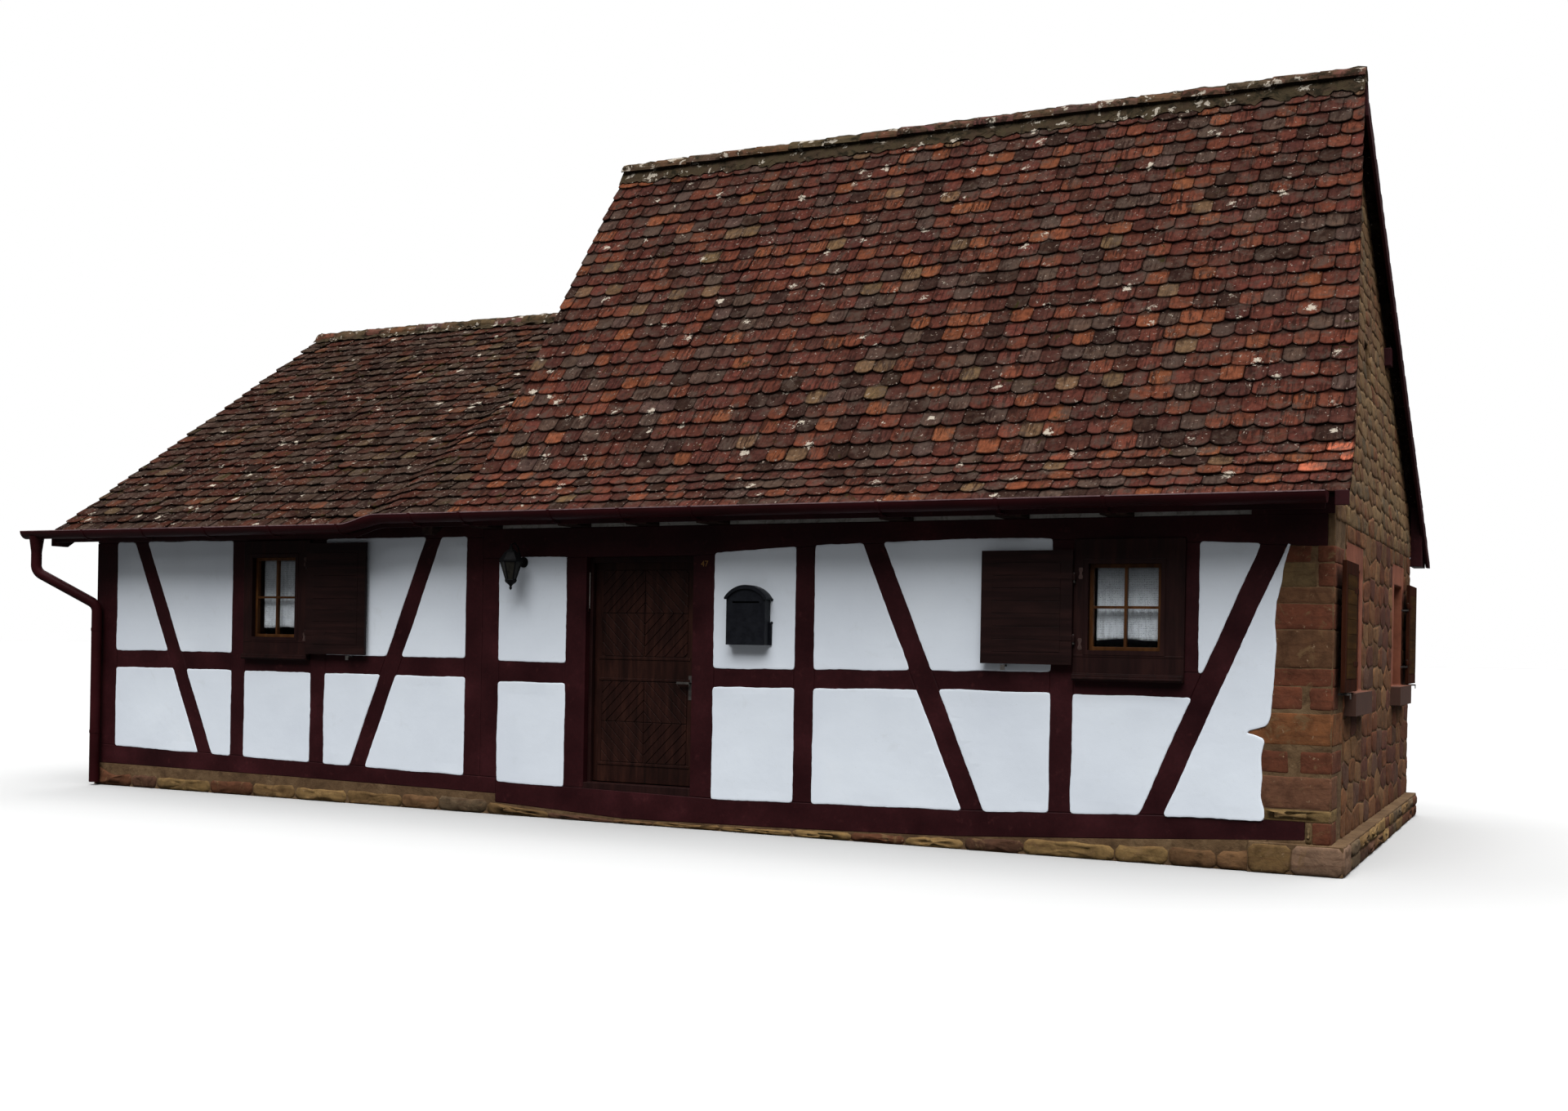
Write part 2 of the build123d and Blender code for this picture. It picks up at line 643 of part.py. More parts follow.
rear_sill, rear_plate, rear_rail, rear_posts, rear_braces, rear_panels = rear_frame()
keep("rear_beams", rear_sill, rear_plate, rear_rail)
keep("rear_posts", *rear_posts, *rear_braces)
keep("rear_panels", rear_panels)


# Left end wall with the gable of the lower roof

def left_end_frame():
    x0, x1 = left_end, left_end + TIMBER_DEPTH
    inner, outer = TIMBER_DEPTH, rear_wall
    sill_bottom, sill_top = LEFT_SILL_BOTTOM[0][1], LEFT_SILL_TOP[0][1]
    sill = block(x0, x1, inner, outer, sill_bottom, sill_top)
    tie = block(x0, x1, inner, outer, LEFT_PLATE_BOTTOM, LEFT_PLATE_TOP)
    wall_middle = (inner + outer) / 2
    low_post = block(x0, x1, wall_middle - POST_WIDTH / 2, wall_middle + POST_WIDTH / 2, sill_top,
                     LEFT_PLATE_BOTTOM)
    half = BRACE_WIDTH / 2
    slants = []
    top_away, bottom_away = END_WALL_BRACE
    for start, turn in ((inner, 1), (outer, -1)):
        y_top, y_bottom = start + turn * top_away, start + turn * bottom_away
        outline = [(y_bottom - half, sill_top), (y_bottom + half, sill_top),
                   (y_top + half, LEFT_PLATE_BOTTOM), (y_top - half, LEFT_PLATE_BOTTOM)]
        slants.append(prism_x(outline, x0, x1))
    rail = block(x0, x1, inner, outer, LEFT_RAIL_BOTTOM, LEFT_RAIL_BOTTOM + RAIL_HEIGHT)
    rail = cut(rail, [low_post] + slants)
    whole = block(x0 + PANEL_RECESS, x0 + PANEL_RECESS + PANEL_THICKNESS, inner, outer, sill_top,
                  LEFT_PLATE_BOTTOM)
    panels = cut(whole, [low_post, rail] + slants)

    triangle = [(inner, LEFT_PLATE_TOP), (outer, LEFT_PLATE_TOP), (outer, rear_z(outer) - main_tile_drop),
                (left_ridge_y, left_ridge_z - main_tile_drop), (inner, left_front_z(inner) - left_tile_drop)]
    gable = prism_x(triangle, x0, x1)
    top_posts = []
    for y in (wall_middle - END_WALL_POST_SHIFT, left_ridge_y):
        top_posts.append(block(x0, x1, y - POST_WIDTH / 2, y + POST_WIDTH / 2, LEFT_PLATE_TOP, ridge_z))
    top_posts = [each & gable for each in top_posts]
    infill = prism_x(triangle, x0 + PANEL_RECESS, x0 + PANEL_RECESS + PANEL_THICKNESS)
    infill = cut(infill, top_posts)
    return sill, tie, rail, [low_post] + slants + top_posts, [panels, infill]


left_sill_side, left_tie, left_rail_side, left_side_posts, left_side_panels = left_end_frame()


# Main tile layers, under which the rafters and the bevelled joist ends lie

def layer(profile, top_drop, bottom_drop, x0, x1):
    """Solid along a roof profile, between two drops below it."""
    return prism_x(lowered(profile, top_drop) + lowered(reversed(profile), bottom_drop), x0, x1)


rear_profile = [(ridge_y, ridge_z), (rear_eave_y, rear_eave_z)]
left_front_profile = [(-FRONT_OVERHANG, LEFT_EAVE_Z), (left_ridge_y, left_ridge_z)]
left_rear_profile = [(left_ridge_y, left_ridge_z), (rear_eave_y, rear_eave_z)]
main_left_verge = seam - MIDDLE_VERGE_OVERHANG
lower_left_verge = left_end - LEFT_VERGE_OVERHANG
far = 2 * VERGE_OVERHANG
main_front_tiles = layer(main_front_profile(), 0, main_tile_drop, main_left_verge, far)
main_rear_tiles = layer(rear_profile, 0, main_tile_drop, main_left_verge, far)
main_front_tiles = main_front_tiles & verge_slice(main_left_verge)
main_rear_tiles = main_rear_tiles & verge_slice(main_left_verge)
keep("main_front_tiles", main_front_tiles)
keep("main_rear_tiles", main_rear_tiles)


# Rafters and joists

def rafter(x, top, bottom, soffit):
    """Rafter between an upper and a lower profile, clipped below at the soffit."""
    solid = prism_x(top + bottom[::-1], x - RAFTER_WIDTH / 2, x + RAFTER_WIDTH / 2)
    return solid & block(x - RAFTER_WIDTH, x + RAFTER_WIDTH, top[0][0], top[-1][0], soffit, ridge_z)


def main_rafter(x, y0):
    top = lowered(main_front_profile(y0), main_tile_drop)
    return rafter(x, top, lowered(top, main_rafter_drop), joist_top)


def left_rafter(x):
    """Rafter of the lower roof, made deeper on top where the eave is swept up."""
    ends = (-RAFTER_TAIL, left_ridge_y)
    top = [(y, left_front_z(y, x) - left_tile_drop) for y in ends]
    bottom = [(y, left_front_z(y) - left_tile_drop - left_rafter_drop) for y in ends]
    return rafter(x, top, bottom, LEFT_TAIL_SOFFIT)


def rear_rafter(x, y0):
    top = [(y, rear_z(y) - main_tile_drop) for y in (y0, HOUSE_DEPTH + JOIST_END)]
    return rafter(x, top, lowered(top, main_rafter_drop), joist_top)


def joist(x, y0):
    half = JOIST_WIDTH / 2
    whole = block(x - half, x + half, y0, HOUSE_DEPTH + JOIST_END, MAIN_PLATE_TOP, joist_top)
    return whole - main_front_tiles


shown_joists = [seam + SEAM_JOIST_INSET] + [-distance for distance in SHOWN_JOISTS_FROM_CORNER]
hidden_joists = [-distance for distance in HIDDEN_JOISTS_FROM_CORNER]
lower_joists = [left_end + distance for distance in LEFT_JOISTS_FROM_END]
main_joists = [joist(x, -JOIST_END) for x in shown_joists] + [joist(x, TIMBER_DEPTH) for x in hidden_joists]
left_joists = [joist(x, TIMBER_DEPTH) for x in lower_joists]
main_front_rafters = [main_rafter(x, -JOIST_END) for x in shown_joists]
main_front_rafters += [main_rafter(x, TIMBER_DEPTH) for x in hidden_joists]
main_rear_rafters = [rear_rafter(x, ridge_y) for x in shown_joists + hidden_joists]
left_front_rafters = [cut(left_rafter(x), [beams[2]] + left_joists) for x in lower_joists]
left_rear_rafters = [rear_rafter(x, left_ridge_y) for x in lower_joists]
keep("main_front_rafters", *main_front_rafters)
keep("main_rear_rafters", *main_rear_rafters)
keep("left_front_rafters", *left_front_rafters)
keep("left_rear_rafters", *left_rear_rafters)

all_left_rafters = left_front_rafters + left_rear_rafters
left_joists = [cut(each, [left_tie]) for each in left_joists]
left_side_posts = [cut(each, all_left_rafters) for each in left_side_posts]
left_side_panels = [cut(each, all_left_rafters + left_joists) for each in left_side_panels]
keep("left_end_beams", left_sill_side, left_tie, left_rail_side)
keep("left_end_posts", *left_side_posts)
keep("left_end_panels", *left_side_panels)


# Gable of the main part above the lower roof

def middle_gable():
    """Timbered triangle between the lower roof and the main roof."""
    x0, x1 = seam, seam + TIMBER_DEPTH
    low = left_ridge_z
    top = lowered(main_front_profile(0) + [(rear_wall, rear_z(rear_wall))], main_tile_drop)
    outline = [(rear_wall, joist_top), (0, joist_top)] + top
    whole = prism_x(outline, x0, x1)
    post_mid = block(x0, x1, ridge_y - POST_WIDTH / 2, ridge_y + POST_WIDTH / 2, joist_top, ridge_z)
    collar = block(x0, x1, 0, HOUSE_DEPTH, low - RAIL_HEIGHT, low)
    timbers = (post_mid + collar) & whole
    infill = cut(prism_x(outline, x0 + PANEL_RECESS, x0 + PANEL_RECESS + PANEL_THICKNESS), [timbers])
    return timbers, infill


middle_timbers, middle_infill = middle_gable()
seam_rafters = [main_front_rafters[0], main_rear_rafters[0]]
middle_timbers = cut(middle_timbers, seam_rafters + main_joists[:1])
middle_infill = cut(middle_infill, seam_rafters + main_joists[:1])
keep("middle_gable_timbers", middle_timbers)
keep("middle_gable_panels", middle_infill)
keep("joists", *main_joists, *left_joists)


# Tile layers of the lower roof

def swept(section, x0, x1):
    """Solid of the lower roof whose section changes where the eave sweeps up."""
    faces = [make_face(Polyline(*section(x), close=True)) for x in (x0, sweep_start, sweep_end, x1)]
    return loft(faces, ruled=True)


def lower_tile_section(x):
    eave = left_front_z(-FRONT_OVERHANG, x)
    return [(x, -FRONT_OVERHANG, eave), (x, left_ridge_y, left_ridge_z),
            (x, left_ridge_y, left_ridge_z - left_tile_drop), (x, -FRONT_OVERHANG, eave - left_tile_drop)]


left_front_tiles = swept(lower_tile_section, lower_left_verge, seam)
left_front_tiles = cut(left_front_tiles, [main_front_tiles, main_rear_tiles])
left_rear_tiles = layer(left_rear_profile, 0, main_tile_drop, lower_left_verge, main_left_verge)
keep("left_front_tiles", *left_front_tiles.solids())
keep("left_rear_tiles", left_rear_tiles)


# Ridges and verges

def ridge_cap(y, z, front_pitch, x0, x1):
    """Half round ridge tiles, bedded in mortar on the two slopes."""
    front, rear = radians(front_pitch), radians(REAR_PITCH)
    reach = 2 * RIDGE_RADIUS
    low = z - 2 * reach
    under = [(y - reach * cos(front), z - reach * sin(front)), (y, z),
             (y + reach * cos(rear), z - reach * sin(rear)), (y + reach * cos(rear), low),
             (y - reach * cos(front), low)]
    middle = Pos((x0 + x1) / 2, y, z + RIDGE_CREST - RIDGE_RADIUS)
    return middle * Rot(0, 90, 0) * Cylinder(RIDGE_RADIUS, x1 - x0) - prism_x(under, x0, x1)


main_cap = ridge_cap(ridge_y, ridge_z, MAIN_PITCH, main_left_verge, far)
keep("main_ridge", main_cap & verge_slice(main_left_verge))
left_cap = ridge_cap(left_ridge_y, left_ridge_z, LEFT_PITCH, lower_left_verge, main_left_verge)
left_cap = cut(left_cap, [main_front_tiles, main_rear_tiles, left_front_tiles])
keep("left_ridge", left_cap)


def verge_board(profile, drop, pitch, x0, x1):
    """Board along a verge, under the tiles."""
    return layer(profile, drop, drop + VERGE_BOARD_HEIGHT / cos(radians(pitch)), x0, x1)


rear_foot_z = rear_eave_z - main_tile_drop - VERGE_FOOT
rear_board = verge_board(rear_profile, main_tile_drop, REAR_PITCH, -2 * GABLE_LEAN, far)
verge_band = verge_slice(-2 * GABLE_LEAN) - verge_slice(-2 * GABLE_LEAN, VERGE_BOARD)
above_foot = block(-2 * GABLE_LEAN, far, ridge_y, rear_eave_y, rear_foot_z, ridge_z)
box_top = lowered([(HOUSE_DEPTH, rear_z(HOUSE_DEPTH)), (rear_eave_y, rear_eave_z)], main_tile_drop)
box_end = prism_x(box_top + [(rear_eave_y, rear_foot_z), (HOUSE_DEPTH, rear_foot_z)], 0,
                  VERGE_OVERHANG - VERGE_BOARD)
shoe = block(VERGE_OVERHANG - VERGE_SHOE_WIDTH, VERGE_OVERHANG, -FRONT_OVERHANG - VERGE_BOARD,
             -FRONT_OVERHANG, MAIN_EAVE_Z - main_tile_drop, MAIN_EAVE_Z)
keep("right_verge_boards", fuse([rear_board & verge_band & above_foot, box_end]), shoe)
middle_front = verge_board(main_front_profile(), main_tile_drop, MAIN_PITCH, main_left_verge,
                           main_left_verge + VERGE_BOARD)
lower_roof = [left_front_tiles, left_rear_tiles, left_cap]
middle_boards = cut(middle_front, lower_roof).solids()
keep("middle_verge_board", max(middle_boards, key=lambda board: board.center().Z))
lower_left_board = lower_left_verge + VERGE_BOARD
left_front = verge_board(left_front_profile, left_tile_drop, LEFT_PITCH, lower_left_verge, lower_left_board)
left_rear = verge_board(left_rear_profile, main_tile_drop, REAR_PITCH, lower_left_verge, lower_left_board)
left_foot_z = LEFT_EAVE_Z - left_tile_drop - VERGE_FOOT
left_clip = block(lower_left_verge, lower_left_board, -FRONT_OVERHANG, rear_eave_y,
                  min(left_foot_z, rear_foot_z), left_ridge_z)
keep("left_verge_boards", fuse([left_front, left_rear]) & left_clip)


# Infill between the joists and rafters above the plates

def eave_infill():
    y0, y1 = PANEL_RECESS, TIMBER_DEPTH
    under_tiles = lowered(main_front_profile(y0), main_tile_drop)
    main = prism_x([(ridge_y, MAIN_PLATE_TOP), (y0, MAIN_PLATE_TOP)] + under_tiles, seam + TIMBER_DEPTH,
                   -GABLE_THICKNESS)
    main = main & block(seam, 0, y0, y1, MAIN_PLATE_TOP, ridge_z)
    left = swept(lambda x: [(x, y0, LEFT_PLATE_TOP), (x, y1, LEFT_PLATE_TOP),
                            (x, y1, left_front_z(y1, x) - left_tile_drop),
                            (x, y0, left_front_z(y0, x) - left_tile_drop)], left_end, seam)
    y2, y3 = rear_wall, HOUSE_DEPTH - PANEL_RECESS
    rear = prism_x([(y2, MAIN_PLATE_TOP), (y3, MAIN_PLATE_TOP), (y3, rear_z(y3) - main_tile_drop),
                    (y2, rear_z(y2) - main_tile_drop)], left_end, -GABLE_THICKNESS)
    main = cut(main, main_joists + main_front_rafters)
    left = cut(left, left_front_rafters + left_joists)
    rear = cut(rear, main_joists + left_joists + main_rear_rafters + left_rear_rafters
               + [middle_timbers, middle_infill])
    return main, left, rear


infills = eave_infill()
keep("eave_infill", *infills)


# Windows of the front

def window_casing(x_middle, sash_bottom, sash_top, top):
    """Board casing that fills a bay, stands proud of the wall and frames the sash."""
    x0, x1 = x_middle - WINDOW_BAY / 2, x_middle + WINDOW_BAY / 2
    half = SASH_WIDTH / 2
    body = block(x0, x1, -CASING_PROUD, TIMBER_DEPTH, CASING_BOTTOM, top)
    opening = block(x_middle - SASH_SHIFT - half, x_middle - SASH_SHIFT + half, -CASING_PROUD, TIMBER_DEPTH,
                    sash_bottom, sash_top)
    sill_board = block(x0, x1, -SILL_BOARD_PROUD, -CASING_PROUD, CASING_BOTTOM,
                       CASING_BOTTOM + SILL_BOARD_HEIGHT)
    reach = half + CASING_RIM_WIDTH
    rim = block(x_middle - SASH_SHIFT - reach, x_middle - SASH_SHIFT + reach,
                -CASING_PROUD - CASING_RIM_PROUD, -CASING_PROUD, sash_bottom - CASING_RIM_WIDTH,
                sash_top + CASING_RIM_WIDTH)
    rim = rim - block(x_middle - SASH_SHIFT - half, x_middle - SASH_SHIFT + half,
                      -CASING_PROUD - CASING_RIM_PROUD, -CASING_PROUD, sash_bottom, sash_top)
    return cut(fuse([body, sill_board, rim]), front_timbers + [opening])


def sash(width, height):
    """Window sash with two by two panes, standing on the origin and facing -Y."""
    frame = Box(width, SASH_THICKNESS, height) - Box(width - 2 * SASH_FRAME, SASH_THICKNESS,
                                                      height - 2 * SASH_FRAME)
    frame = frame + Box(SASH_BAR, SASH_THICKNESS, height - SASH_FRAME)
    frame = frame + Box(width - SASH_FRAME, SASH_THICKNESS, SASH_BAR)
    return frame


casing_tops = {"left": LEFT_PLATE_BOTTOM - CASING_PLATE_GAP, "right": RIGHT_CASING_TOP}
sash_heights = {"left": (LEFT_SASH_BOTTOM, LEFT_SASH_TOP), "right": (RIGHT_SASH_BOTTOM, RIGHT_SASH_TOP)}
casings, sashes, glasses, curtains = {}, [], [], []
for side, x_middle in window_middles.items():
    z0, z1 = sash_heights[side]
    casings[side] = window_casing(x_middle, z0, z1, casing_tops[side])
    keep(side + "_window_casing", casings[side])
    x = x_middle - SASH_SHIFT
    z = (z0 + z1) / 2
    y = SASH_RECESS + SASH_THICKNESS / 2
    sashes.append(Pos(x, y, z) * sash(SASH_WIDTH, z1 - z0))
    glass_y = SASH_RECESS + SASH_THICKNESS
    glasses.append(block(x - SASH_WIDTH / 2, x + SASH_WIDTH / 2, glass_y, glass_y + GLASS_THICKNESS, z0, z1))
    curtain_y = glass_y + GLASS_THICKNESS + CURTAIN_GAP
    curtains.append(block(x - SASH_WIDTH / 2, x + SASH_WIDTH / 2, curtain_y, curtain_y + CURTAIN_THICKNESS,
                          z0 + (z1 - z0) * CURTAIN_SHARE_BARE, z1))
keep("front_sashes", *sashes)
keep("curtains", *curtains)

gable_sashes = []
for y in (FRONT_GABLE_WINDOW_Y, REAR_GABLE_WINDOW_Y):
    height = GABLE_WINDOW_TOP - GABLE_WINDOW_BOTTOM
    middle = (GABLE_WINDOW_TOP + GABLE_WINDOW_BOTTOM) / 2
    x = -GABLE_SASH_RECESS - SASH_THICKNESS / 2
    gable_sashes.append(Pos(x, y, middle) * Rot(0, 0, 90) * sash(GABLE_WINDOW_WIDTH, height))
    x = -GABLE_SASH_RECESS - SASH_THICKNESS
    glasses.append(block(x - GLASS_THICKNESS, x, y - GABLE_WINDOW_WIDTH / 2, y + GABLE_WINDOW_WIDTH / 2,
                         GABLE_WINDOW_BOTTOM, GABLE_WINDOW_TOP))
keep("gable_sashes", *gable_sashes)
keep("window_glass", *glasses)


# White panels of the front

def front_panels():
    main_top, left_top = MAIN_PLATE_TOP - BEAM_LAP, LEFT_PLATE_BOTTOM + BEAM_LAP
    top = [(-QUOIN_RETURN_TOP, main_top), (seam, main_top), (seam, left_top), (left_end, left_top)]
    whole = prism_y(middle_of_sills() + top, PANEL_RECESS, PANEL_RECESS + PANEL_THICKNESS)
    return cut(whole, front_timbers + [doorway, stone, casings["left"], casings["right"]] + window_bays)


panels = front_panels()
keep("left_front_panels", *[each for each in panels.solids() if each.center().X < seam])
keep("main_front_panels", *[each for each in panels.solids() if each.center().X > seam])

front_plinth, rear_plinth, side_plinth = plinth()
plinth_cutters = beams + [floor, stone, rear_sill, left_sill_side]
whole_plinth = fuse([front_plinth, rear_plinth, side_plinth])
keep("plinth", cut(whole_plinth, plinth_cutters))


# Door

door_left = -DOOR_FROM_CORNER - DOOR_WAY / 2
door_right = -DOOR_FROM_CORNER + DOOR_WAY / 2
leaf_left = door_left + DOOR_CLEARANCE
leaf_right = door_right - DOOR_CLEARANCE
leaf_bottom = THRESHOLD_TOP + DOOR_CLEARANCE
leaf_top = DOOR_HEAD - DOOR_CLEARANCE
leaf_back = DOOR_LEAF_RECESS + DOOR_LEAF_THICKNESS
door_pin_x = leaf_left
door_pin_y = leaf_back + DOOR_PIN_OFFSET


def door_frame():
    """Stops on both posts and under the beam, and the threshold on the sill."""
    stop_back = DOOR_LEAF_RECESS - DOOR_STOP_GAP
    ring = block(door_left, door_right, DOOR_STOP_RECESS, stop_back, 0, MAIN_PLATE_TOP)
    ring = ring - block(door_left + DOOR_STOP, door_right - DOOR_STOP, DOOR_STOP_RECESS, stop_back, 0,
                        leaf_top - DOOR_STOP)
    threshold = block(door_left, door_right, 0, TIMBER_DEPTH, 0, THRESHOLD_TOP)
    low = prism_y(edge_points(MAIN_SILL_BOTTOM) + [(0, 0), (seam, 0)], 0, TIMBER_DEPTH)
    return cut(ring + threshold, beams + [low])


def door_leaf():
    """Boarded leaf with raised rails and two hinge eyes on its inner face."""
    outer = block(leaf_left, leaf_right, DOOR_LEAF_RECESS, leaf_back, leaf_bottom, leaf_top)
    fields = [(leaf_bottom + DOOR_BOTTOM_RAIL, DOOR_MIDDLE_RAIL_BOTTOM),
              (DOOR_MIDDLE_RAIL_TOP, leaf_top - DOOR_STILE)]
    leaf = outer
    for low, high in fields:
        leaf = leaf - block(leaf_left + DOOR_STILE, leaf_right - DOOR_STILE, DOOR_LEAF_RECESS,
                            DOOR_LEAF_RECESS + DOOR_PANEL_RECESS, low, high)
    hole = DOOR_PIN_RADIUS + PIN_CLEARANCE
    for z in (DOOR_HINGE_LOW, DOOR_HINGE_HIGH):
        eye = upright(door_pin_x, door_pin_y, z, z + EYE_HEIGHT, hole + EYE_WALL)
        tab = block(leaf_left, leaf_left + DOOR_TAB, leaf_back, door_pin_y, z, z + EYE_HEIGHT)
        leaf = leaf + eye + tab
        leaf = leaf - upright(door_pin_x, door_pin_y, z, z + EYE_HEIGHT, hole)
    return leaf


def door_pins():
    """Pins on arms that are let into the left door post."""
    pins = []
    for z in (DOOR_HINGE_LOW, DOOR_HINGE_HIGH):
        low = z - PIN_BELOW_EYE
        rod = upright(door_pin_x, door_pin_y, low, z + EYE_HEIGHT + PIN_ABOVE_EYE, DOOR_PIN_RADIUS)
        arm = block(door_left - HOLDER_WIDTH, door_pin_x, TIMBER_DEPTH, door_pin_y + DOOR_PIN_RADIUS, low,
                    low + PIN_ARM_HEIGHT)
        pins.append(rod + arm)
    return pins


def door_handle():
    """Plate, neck and lever on both faces of the leaf."""
    x = leaf_right - HANDLE_INSET
    bar = HANDLE_BAR / 2
    pieces = []
    for face, away in ((DOOR_LEAF_RECESS, -1), (leaf_back, 1)):
        plate = block(x - HANDLE_PLATE_WIDTH / 2, x + HANDLE_PLATE_WIDTH / 2, face,
                      face + away * HANDLE_PLATE_THICKNESS, HANDLE_HEIGHT - HANDLE_PLATE_LOW,
                      HANDLE_HEIGHT + HANDLE_PLATE_HIGH)
        reach = HANDLE_REACH - bar
        neck = Pos(x, face + away * reach / 2, HANDLE_HEIGHT) * Rot(90, 0, 0) * Cylinder(bar, reach)
        lever = block(x - HANDLE_LENGTH, x + bar, face + away * (reach - bar), face + away * HANDLE_REACH,
                      HANDLE_HEIGHT - bar, HANDLE_HEIGHT + bar)
        pieces.append(plate + neck + lever)
    return pieces


keep("door_frame", door_frame())
keep("front_door", door_leaf())
keep("door_handle", *door_handle())
MARKS["front_door"] = (door_pin_x, door_pin_y, DOOR_HINGE_LOW)


# Shutters, drawn about their hinge axis: the leaf runs along +X and the wall lies towards +Y

def shutter(width, z0, z1):
    half = SHUTTER_THICKNESS / 2
    start, end = LEAF_FROM_AXIS, LEAF_FROM_AXIS + width
    leaf = block(start, end, -half, half, z0, z1)
    leaf = leaf - block(start + SHUTTER_FRAME, end - SHUTTER_FRAME, -half, -half + SHUTTER_PANEL_RECESS,
                        z0 + SHUTTER_FRAME, z1 - SHUTTER_FRAME)
    hole = PIN_RADIUS + PIN_CLEARANCE
    for z in (z0 + HINGE_INSET, z1 - HINGE_INSET - EYE_HEIGHT):
        strap = block(start, start + width * STRAP_SHARE, -half - STRAP_THICKNESS, -half, z + STRAP_INSET,
                      z + EYE_HEIGHT - STRAP_INSET)
        eye = upright(0, 0, z, z + EYE_HEIGHT, hole + EYE_WALL)
        leaf = leaf + strap + eye
        leaf = leaf - upright(0, 0, z, z + EYE_HEIGHT, hole)
    return leaf


def shutter_pins(z0, z1, seat):
    """Pins on arms that reach back by seat to the casing or the stone."""
    pins = []
    for z in (z0 + HINGE_INSET, z1 - HINGE_INSET - EYE_HEIGHT):
        low = z - PIN_BELOW_EYE
        rod = upright(0, 0, low, z + EYE_HEIGHT + PIN_ABOVE_EYE, PIN_RADIUS)
        arm = block(-PIN_RADIUS, PIN_RADIUS, 0, seat, low, low + PIN_ARM_HEIGHT)
        pins.append(rod + arm)
    return pins


def holder(width, z0, wall):
    """Turn button that keeps the open leaf, on a stem from the wall just below it."""
    x = width * HOLDER_SHARE
    top = z0 - HOLDER_GAP
    front = -SHUTTER_THICKNESS
    stem = block(x - HOLDER_STEM / 2, x + HOLDER_STEM / 2, front, wall, top - PIN_ARM_HEIGHT, top)
    button = block(x - HOLDER_WIDTH / 2, x + HOLDER_WIDTH / 2, front - HOLDER_THICKNESS, front,
                   top - HOLDER_HEIGHT, top)
    return stem + button


axis_gap = SHUTTER_STANDOFF + SHUTTER_THICKNESS / 2
left_axis = (window_middles["left"] + WINDOW_BAY / 2 - AXIS_INSET, -axis_gap)
right_axis = (window_middles["right"] - WINDOW_BAY / 2 + AXIS_INSET, -axis_gap)
half_opening = GABLE_WINDOW_WIDTH / 2
front_axis = (axis_gap, FRONT_GABLE_WINDOW_Y - half_opening - AXIS_INSET)
rear_axis = (axis_gap, REAR_GABLE_WINDOW_Y + half_opening + AXIS_INSET)
gable_low = GABLE_WINDOW_BOTTOM + GABLE_SHUTTER_CLEARANCE
gable_high = GABLE_WINDOW_TOP + GABLE_SHUTTER_LAP

hinge_pins = door_pins()
holders = []
for name, axis, turn, mirrored, width, z0, z1, seat, wall in (
        ("left_shutter", left_axis, 0, False, SHUTTER_WIDTH, LEFT_SHUTTER_BOTTOM, LEFT_SHUTTER_TOP,
         axis_gap - CASING_PROUD, axis_gap),
        ("right_shutter", right_axis, 0, True, SHUTTER_WIDTH, RIGHT_SHUTTER_BOTTOM, RIGHT_SHUTTER_TOP,
         axis_gap - CASING_PROUD, axis_gap + PANEL_RECESS),
        ("front_gable_shutter", front_axis, 90, True, GABLE_SHUTTER_WIDTH, gable_low, gable_high, axis_gap,
         axis_gap),
        ("rear_gable_shutter", rear_axis, 90, False, GABLE_SHUTTER_WIDTH, gable_low, gable_high, axis_gap,
         axis_gap)):
    place = Pos(axis[0], axis[1], 0) * Rot(0, 0, turn)
    pieces = [shutter(width, z0, z1)] + shutter_pins(z0, z1, seat) + [holder(width, z0, wall)]
    if mirrored:
        pieces = [mirror(each, about=Plane.YZ) for each in pieces]
    pieces = [place * each for each in pieces]
    keep(name, pieces[0])
    hinge_pins.extend(pieces[1:3])
    holders.append(pieces[3])
    MARKS[name] = (axis[0], axis[1], (z0 + z1) / 2)
keep("hinge_pins", *hinge_pins)
keep("shutter_holders", *holders)


# Gutter, brackets and downpipe

gutter_y = -FRONT_OVERHANG - GUTTER_GAP - GUTTER_RADIUS
gutter_left = lower_left_verge - GUTTER_PAST_VERGE


def gutter():
    start, end = gutter_left, 0
    path = FilletPolyline((start, gutter_y, GUTTER_LEFT_TOP), (sweep_start, gutter_y, GUTTER_LEFT_TOP),
                          (sweep_end, gutter_y, GUTTER_MAIN_TOP), (end, gutter_y, GUTTER_MAIN_TOP),
                          radius=GUTTER_BEND_RADIUS)
    plane = Plane(origin=(start, gutter_y, GUTTER_LEFT_TOP), x_dir=(0, 1, 0), z_dir=(1, 0, 0))
    lower = Pos(0, -GUTTER_RADIUS) * Rectangle(3 * GUTTER_RADIUS, 2 * GUTTER_RADIUS)
    ring = (Circle(GUTTER_RADIUS) - Circle(GUTTER_RADIUS - GUTTER_WALL)) & lower
    plate = Circle(GUTTER_RADIUS) & lower
    channel = sweep(plane * ring, path=path)
    left_stop = extrude(plane * plate, amount=GUTTER_WALL, dir=(1, 0, 0))
    right_plane = Plane(origin=(end, gutter_y, GUTTER_MAIN_TOP), x_dir=(0, 1, 0), z_dir=(1, 0, 0))
    right_stop = extrude(right_plane * plate, amount=GUTTER_WALL, dir=(-1, 0, 0))
    return channel + left_stop + right_stop


